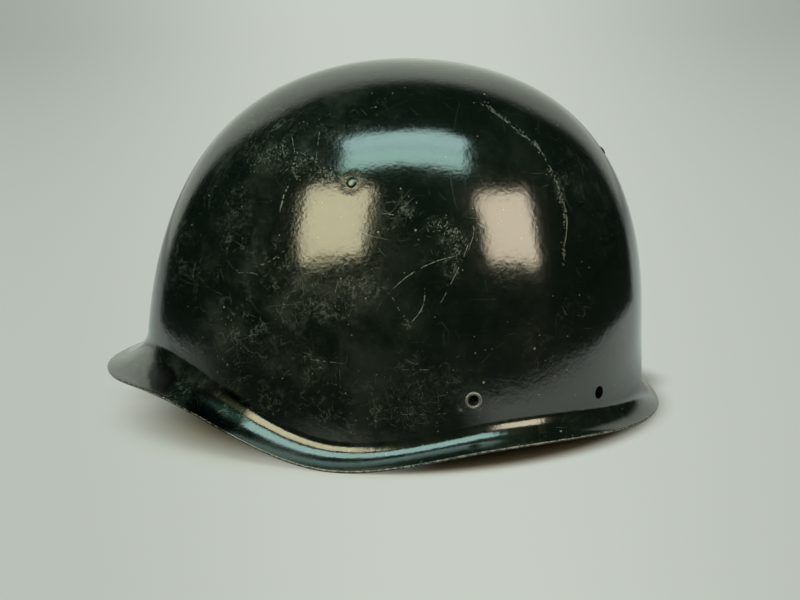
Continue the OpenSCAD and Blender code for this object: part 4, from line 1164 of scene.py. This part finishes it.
def make_tongue(k):
    half = LEATHER / 2
    side = [(TONGUE_COLUMNS - d, g) for d, g in ((0.045, half), (0.013, half * 0.72), (0, half * 0.3))]
    edge = side + [(c, -g) for c, g in side[::-1]]
    flat = [TONGUE_COLUMNS * j / 16 for j in range(15, 0, -1)]
    profile = edge + [(c, -half) for c in flat]
    profile += [(TONGUE_COLUMNS - c, -g) for c, g in edge]
    profile += [(c, half) for c in flat[::-1]]
    columns, grows = np.array(profile).T
    climbs = np.concatenate([[0, 0.004], np.linspace(0.02, 0.985, 44), [0.997, 1.0]])
    thins = np.concatenate([[0.75, 0.97], np.ones(44), [0.95, 0.6]])
    sections = np.stack([tongue_point(k, columns, t, grows * thin) for t, thin in zip(climbs, thins)])
    sections = sections + waves(sections, 20 + k, 0.16, 34)
    obj = swept(f"leather_tongue_{k + 1}", sections, liner_leather, closed=False)
    fit(obj, "liner_leather", "helmet", f"tongue_{k + 1}")


def tongue_stitches():
    """Seams along both sides of each tongue and across its foot, on both faces."""
    rows = []
    climbs = np.linspace(0.035, 0.90, 90)
    across = np.linspace(0.30, TONGUE_COLUMNS - 0.30, 60)
    for k in range(TONGUES):
        for column, climb in ((0.20, climbs), (TONGUE_COLUMNS - 0.20, climbs), (across, 0.022)):
            for grow in (-LEATHER / 2, LEATHER / 2):
                path = tongue_point(k, column, climb, grow)
                rows.append((path, path - tongue_point(k, column, climb, 0)))
    stitches("tongue_stitches", rows)


PATCH_WIDTH = 54.0
PATCH_SHARE = PATCH_WIDTH / 2 / (HOOP_HALF_WIDTH + LEATHER_FACE)


def patch_point(share, out, lift):
    closing = PATCH_SHARE * out
    rise = np.arccos(closing ** (1 / TONGUE_POWER))
    x, y = oval_point(oval_turn(share), LEATHER_FACE)
    z = BAND_TOP + TONGUE_RISE * np.sin(rise) ** TONGUE_POWER + LEATHER / 2 + lift
    return np.stack([x * closing, HOOP_Y + (y - HOOP_Y) * closing, np.broadcast_to(z, x.shape)], -1)


def make_crown_patch():
    low, high = SEAT_GAP, SEAT_GAP + LEATHER
    share = np.arange(96) / 96
    outs = [(k + 1) / 16 * 0.985 for k in range(16)]
    rows = [patch_point(share, out, high) for out in outs]
    rows += [patch_point(share, 0.997, high - 0.35), patch_point(share, 1.0, (low + high) / 2)]
    rows += [patch_point(share, 0.997, low + 0.35)] + [patch_point(share, out, low) for out in outs[::-1]]
    rows = np.array(rows)
    tips = [patch_point(share[:1], 0.0, lift)[0] for lift in (high, low)]
    points, faces = tipped_rows(tips, rows + waves(rows, 41, 0.10, 16))
    obj = new_object("leather_crown_patch", points * MM, faces, [liner_leather])
    tidy_faces(obj)
    fit(obj, "liner_leather", "helmet", "crown_patch")

    turn = np.linspace(0, 1, 241)
    upwards = np.tile((0, 0, 1.0), (len(turn), 1))
    # The outer seam goes through the tongues too, and shows under them
    rows = []
    for out, through in ((0.90, LEATHER + SEAT_GAP * 0.8), (0.62, 0)):
        rows.append((patch_point(turn, out, high), upwards))
        rows.append((patch_point(turn, out, low) - (0, 0, through), -upwards))
    stitches("crown_patch_stitches", rows)


# The chin strap

STRAP_WIDTH = 16.0
STRAP_SHEET = 2.0
STRAP_BEND = 8.0
STRAP_FOLD = 12.0
BAIL_X = 89.8
RING_LOW_Z = 27.0
FOLD_EYE = 1.6
FOLD_START = -3.9
FOLD_STEEPEST = 118
SHORT_Z = 2.75
LONG_Z = 1.3
SHORT_STRAP = 74.0
LONG_STRAP = 125.0
LONG_RETURN = 105.0
LONG_TURN = 4.5
LONG_HEADING = math.radians(20)
BUCKLE_X = 6.8
BUCKLE_Z = 3.75
BUCKLE_EYE = 1.6
SLOT_WIDTH = 4.8
SLOT_REAR = 5.2
FIRST_HOLE = 16.0
HOLE_PITCH = 12.0
STRAP_HOLES = 5
HOLE_WIDTH = 3.0
STRAP_PROFILE = rounded_strip(STRAP_WIDTH / 2, STRAP_SHEET, corner=0.5, crease=1.7)
# Where the sections of the long strap's rounded tip lie on its arc
TIP_TURNS = np.radians(np.linspace(6, 88, 20))


def fold_points(eye):
    """A strap end folded round a bar at the origin, from its free layer at v = 1 to the other at v = -1."""
    radius = eye + STRAP_SHEET / 2
    layer = STRAP_SHEET / 2
    steepest = math.radians(FOLD_STEEPEST)
    start = np.array([FOLD_START, layer])
    end = radius * np.array([math.cos(steepest), math.sin(steepest)])
    lead = 0.9 * (end[0] - start[0])
    leave, arrive = np.array([lead, 0]), lead * np.array([math.sin(steepest), -math.cos(steepest)])
    points = [np.array([u, layer]) for u in np.linspace(-STRAP_FOLD, start[0], 6)]
    for t in np.linspace(0, 1, 6)[1:]:
        points.append((2 * t**3 - 3 * t**2 + 1) * start + (t**3 - 2 * t**2 + t) * leave
                      + (3 * t**2 - 2 * t**3) * end + (t**3 - t**2) * arrive)
    round_bar = arc_points((0, 0), radius, FOLD_STEEPEST, -FOLD_STEEPEST, 21)[1:-1]
    return np.array([*points, *round_bar, *((u, -v) for u, v in points[::-1])])


def strap_route(lying_z, run, heading, back=0.0):
    """Centre line from the ring to the table, as (distance from the strap's plane, height) points."""
    bend_z = lying_z + STRAP_BEND
    fold_z = RING_LOW_Z - STRAP_FOLD
    flat = [(0, z) for z in np.linspace(fold_z, bend_z, 5)[1:]]
    flat += arc_points((STRAP_BEND, bend_z), STRAP_BEND, 180, 270, 16)[1:]
    flat += [(STRAP_BEND + run * k / 40, lying_z) for k in range(1, 41)]
    if back:
        top = lying_z + 2 * LONG_TURN
        flat += arc_points((STRAP_BEND + run, lying_z + LONG_TURN), LONG_TURN, -90, 90, 24)[1:]
        flat += [(STRAP_BEND + run - back * k / 36, top) for k in range(1, 37)]
        tip = STRAP_WIDTH / 2
        flat += [(STRAP_BEND + run - back - tip * math.sin(t), top) for t in TIP_TURNS]
    away, height = np.array(flat).T
    turned = heading * np.clip(away / STRAP_BEND, 0, 1)
    x = BAIL_X - STRAP_SHEET / 2 - away * np.cos(turned)
    path = np.stack([x, HOOP_Y + away * np.sin(turned), height], -1)
    return path, np.stack([np.sin(turned), np.cos(turned), 0 * turned], -1)


def hanging_fold():
    u, v = fold_points(FOLD_EYE).T
    path = np.stack([BAIL_X + v, np.full_like(u, HOOP_Y), RING_LOW_Z + u], -1)
    return path, np.tile((0, 1.0, 0), (len(path), 1))


def make_short_strap():
    fold, fold_across = hanging_fold()
    route, route_across = strap_route(SHORT_Z, SHORT_STRAP - STRAP_FOLD, 0.0)
    u, v = fold_points(BUCKLE_EYE)[::-1].T
    end = np.stack([BUCKLE_X - u, np.full_like(u, HOOP_Y), BUCKLE_Z + v], -1)
    path = np.concatenate([fold, route, end[1:]])
    across = np.concatenate([fold_across, route_across, np.tile((0, 1.0, 0), (len(end) - 1, 1))])
    obj = ribbon("chin_strap_short", path, across, STRAP_PROFILE)
    rear = BUCKLE_X - 2 * STRAP_SHEET - BUCKLE_EYE
    half = SLOT_WIDTH / 2
    notch(obj, box_cutter((rear, HOOP_Y - half, -3), (BUCKLE_X + SLOT_REAR, HOOP_Y + half, 12)))
    fit(obj, "strap_leather", "short_strap", "strap_short")


def make_long_strap():
    fold, fold_across = hanging_fold()
    route, route_across = strap_route(LONG_Z, LONG_STRAP, LONG_HEADING, LONG_RETURN)
    mirror = np.array((-1.0, 1, 1))
    path = np.concatenate([fold, route]) * mirror
    across = np.concatenate([fold_across, route_across]) * mirror
    widths = np.ones(len(path))
    widths[-len(TIP_TURNS):] = np.cos(TIP_TURNS)
    obj = ribbon("chin_strap_long", path, across, STRAP_PROFILE, widths)
    top = LONG_Z + 2 * LONG_TURN
    tip = LONG_RETURN - STRAP_BEND - LONG_STRAP - FIRST_HOLE
    punches = []
    for k in range(STRAP_HOLES):
        away = -(tip - k * HOLE_PITCH)
        x = BAIL_X - STRAP_SHEET / 2 - away * math.cos(LONG_HEADING)
        y = HOOP_Y + away * math.sin(LONG_HEADING)
        place = Matrix.Translation((-x * MM, y * MM, top * MM))
        punches.append(bore(place, HOLE_WIDTH / 2, depth=6.0, segments=24))
    notch(obj, *punches)
    fit(obj, "strap_leather", "long_strap", "strap_long")


KEEPER_X = 21.8
KEEPER_WIDTH = 8.0
KEEPER_SHEET = 1.2
KEEPER_INSIDE = (16.5, 4.5)
TABLE_GAP = 0.3


def make_keeper():
    half_y = (KEEPER_INSIDE[0] + KEEPER_SHEET) / 2
    half_z = (KEEPER_INSIDE[1] + KEEPER_SHEET) / 2
    middle_z = TABLE_GAP + KEEPER_SHEET + KEEPER_INSIDE[1] / 2
    corner = 1.0
    loop = []
    for sy, sz, first in ((1, 1, 0), (-1, 1, 90), (-1, -1, 180), (1, -1, 270)):
        loop += arc_points((sy * (half_y - corner), sz * (half_z - corner)), corner, first, first + 90, 6)
        if first in (0, 180):
            loop += [(-sy * (half_y - corner) * t, sz * half_z) for t in (-0.6, -0.2, 0.2, 0.6)]
    middle = KEEPER_X + KEEPER_WIDTH / 2
    path = np.array([(middle, HOOP_Y + y, middle_z + z) for y, z in loop])
    profile = rounded_strip(KEEPER_WIDTH / 2, KEEPER_SHEET, corner=0.35, crease=1.1)
    across = np.tile((1.0, 0, 0), (len(path), 1))
    obj = ribbon("strap_loop", path, across, profile, closed=True)
    fit(obj, "strap_leather", "strap_keeper", "keeper")


make_felt()
make_sweatband()
for tongue in range(TONGUES):
    make_tongue(tongue)
tongue_stitches()
make_crown_patch()
make_short_strap()
make_long_strap()
make_keeper()

# The CAD's own hardware keeps its shape and gets worn metal
SLOT_MATERIALS = {
    "shell_paint": paint,
    "eyelet_steel": eyelet_steel,
    "zinc": zinc,
    "wire": wire_steel,
    "brass": brass,
    "felt": felt,
    "liner_leather": liner_leather,
    "strap_leather": strap_leather,
}
RIVET_AZIMUTHS = dict(zip(("liner_rivet_left", "liner_rivet_right", "liner_rivet_rear"), LINER_RIVETS))
for part in frame["record"]["subparts"]:
    name = part["node"]
    material = SLOT_MATERIALS[part["material_slot"]]
    if name in RIVET_AZIMUTHS:
        material = rivet_material("painted_" + name, RIVET_AZIMUTHS[name])
    for slot in frame["nodes"][name].material_slots:
        slot.material = material


# The studio: table, light and camera

CAMERA_ELEVATION = math.radians(12.847)
CAMERA_ROLL = math.radians(-1.49)
CAMERA_DISTANCE = 1.0
CAMERA_AIM = Vector((0, 0.0096, 0.0552))
FOCAL_PIXELS = 1963.0
PICTURE_WIDTH = 800
SENSOR = 36.0


def aimed(name, data, right, back, aim, distance):
    """A camera or a lamp that looks at a point from some way back."""
    obj = linked(name, data)
    turn = Matrix((right, back.cross(right), back)).transposed()
    obj.matrix_world = Matrix.Translation(aim + back * distance) @ turn.to_4x4()
    return obj


def make_camera():
    back = Vector((math.cos(CAMERA_ELEVATION), 0, math.sin(CAMERA_ELEVATION)))
    right = Vector((0, 1, 0))
    right = right * math.cos(CAMERA_ROLL) + back.cross(right) * math.sin(CAMERA_ROLL)
    data = bpy.data.cameras.new("camera")
    data.sensor_width = SENSOR
    data.lens = FOCAL_PIXELS / PICTURE_WIDTH * SENSOR
    data.clip_end = 50
    scene.camera = aimed("camera", data, right, back, CAMERA_AIM, CAMERA_DISTANCE)


# Each lamp: direction from the helmet, distance, width and height in metres, width axis, colour and radiance
HELMET_MIDDLE = Vector((0.08, 0.01, 0.11))
SKY_AXIS = (0.10, 0.94, 0.06)
LAMPS = {
    "left_softbox": ((0.565, -0.600, 0.465), 1.3, (0.62, 0.62), (0.30, 0.38, 0.09), (1.0, 0.93, 0.60), 7.4),
    "right_softbox": ((0.540, 0.640, 0.405), 1.3, (0.68, 0.66), (-0.38, 0.39, -0.09), (1.0, 0.87, 0.64), 8.2),
    "sky_panel_rear": ((0.171, -0.072, 0.858), 1.5, (1.42, 0.31), SKY_AXIS, (0.64, 0.99, 0.94), 6.2),
    "sky_panel_front": ((0.349, -0.090, 0.802), 1.5, (1.50, 0.31), SKY_AXIS, (0.61, 1.0, 0.87), 6.2),
}


def make_lamp(name, direction, distance, size, width_axis, colour, radiance):
    data = bpy.data.lights.new(name, "AREA")
    data.shape = "RECTANGLE"
    data.size, data.size_y = size
    data.color = colour
    data.energy = radiance * math.pi * size[0] * size[1]
    away = Vector(direction).normalized()
    across = Vector(width_axis)
    across = (across - across.dot(away) * away).normalized()
    aimed(name, data, across, away, HELMET_MIDDLE, distance)


TABLE = (0.498, 0.487, 0.515, 1)
TABLE_MOTTLE = (0.36, 0.37, 0.33, 1)
# Painted shadow on the table round the helmet, darker and browner behind it
TABLE_PAINTED_SHADOW = (0.34, 0.305, 0.21, 1)
TABLE_PAINTED_SHADOW_REAR = (0.19, 0.165, 0.10, 1)
DARK_ROOM = (0.004, 0.004, 0.004, 1)
BACKDROP = (0.560, 0.600, 0.545, 1)
BACKDROP_EDGE = (0.300, 0.335, 0.300, 1)
TABLE_SIZE = 12.0
POOL_MIDDLE = (-0.10, 0.03, 0)
HELMET_REACH = (0.12, 0.141)


def make_table():
    m = Material("pale_table")
    place = m.coordinates()
    x, y, _ = place.parts()
    from_helmet = (m.combine(x, y) / (*HELMET_REACH, 1)).length()
    # Near the helmet the table carries a painted brown shadow, darker behind the helmet, which fades out into
    # the table's own colour
    colour = m.layers(
        TABLE_PAINTED_SHADOW, (m.ramp(y, -0.02, 0.05), TABLE_PAINTED_SHADOW_REAR), (m.ramp(from_helmet, 0.85, 1.25), TABLE),
        (m.ramp(m.noise(place, 9.0, 4.0), 0.3, 0.7, 0.0, 0.06), TABLE_MOTTLE),
    )
    # In reflections the table ends where the photographer's did
    sector = m.ramp(x * 0.85 + abs(y), 0.15, 0.19)
    near_camera = m.ramp(x, 0.12, 0.16) * m.ramp(y, 0.05, 0.11, 1.0, 0.0)
    right = near_camera | (m.ramp(place.distance(POOL_MIDDLE), 0.295, 0.325) & sector)
    far = m.ramp(y, -0.47, -0.56) * m.ramp(x * -1.15 + y + 0.15, 0.05, -0.12)
    left = (far | m.ramp(x, -0.06, 0.15)) & sector
    beyond = m.blend(m.ramp(y, -0.12, -0.02), left, right)
    colour = m.layers(colour, (m.ray("Is Glossy Ray") * beyond, DARK_ROOM))
    # Away from the helmet the floor is an even backdrop, a little darker towards its sides
    sideways = abs(y - 0.03) / ((1.0 - x) | 0.5)
    edge = m.ramp(sideways, 0.02, 0.22) * m.ramp(x, -2.4, 0.1, 0.85, 0.30)
    backdrop = m.layers(BACKDROP, (edge, BACKDROP_EDGE))
    under = m.ramp(x, -0.045, -0.010) * 0.09 + from_helmet + 0.26
    seen = m.blend(m.ramp(y, -0.05, 0.03), m.ramp(under, 0.97, 1.42), m.ramp(under, 1.28, 1.42))
    seen *= m.ray("Is Camera Ray")
    # Painted light in reflections: away from the helmet the table glows a little, in glossy rays only
    lifted = (1.0 - beyond) * m.ramp(from_helmet, 1.1, 1.6, 0.0, 0.40) * m.ray("Is Glossy Ray")
    material = m.set(Base_Color=m.layers(colour, (seen, (0, 0, 0, 1))), Roughness=0.9, Specular_IOR_Level=0.1,
                     Emission_Color=backdrop, Emission_Strength=seen | lifted)
    half = TABLE_SIZE / 2
    corners = [(-half, -half, 0), (half, -half, 0), (half, half, 0), (-half, half, 0)]
    new_object("table", corners, [(0, 1, 2, 3)], [material], smooth=False)


# The room in each kind of ray, as colour and strength
PAPER_WALL = ((0.74, 0.82, 0.70, 1), 1.0)
DARK_WALL = ((0.006, 0.008, 0.006, 1), 1.0)
ROOM_LIGHT = ((0.86, 0.95, 0.90, 1), 0.34)
SEEN_ROOM = ((0.46, 0.50, 0.455, 1), 1.0)


def make_world():
    scene.world = bpy.data.worlds.new("studio")
    scene.world.use_nodes = True
    m = Nodes(scene.world.node_tree)
    m.tree.nodes.clear()

    def background(colour, strength):
        return Field(m, m.node("Background", Color=colour, Strength=strength).outputs[0])

    def mix(share, low, high):
        node = m.node("MixShader")
        m.feed(node.inputs, (share, low, high))
        return Field(m, node.outputs[0])

    # The pale paper behind the table, as a picture seen from the helmet: how far aside, how far up
    x, y, z = m.coordinates("Generated").parts()
    depth = (x * -1.0) | 0.001
    aside = y / depth
    height = aside * 0.2 + z / depth
    behind = m.ramp(aside, -1.24, -1.02) * m.ramp(aside, 1.00, 0.60) * m.ramp(height, 1.28, 0.78)
    behind *= m.ramp(aside, 0.5, -0.1) * 0.28 + 0.72
    reflected = mix(behind, background(*DARK_WALL), background(*PAPER_WALL))
    lit = mix(m.ray("Is Glossy Ray"), background(*ROOM_LIGHT), reflected)
    m.node("OutputWorld", Surface=mix(m.ray("Is Camera Ray"), lit, background(*SEEN_ROOM)))


make_camera()
for lamp_name, lamp in LAMPS.items():
    make_lamp(lamp_name, *lamp)
make_table()
make_world()
scene.view_settings.view_transform = "Standard"
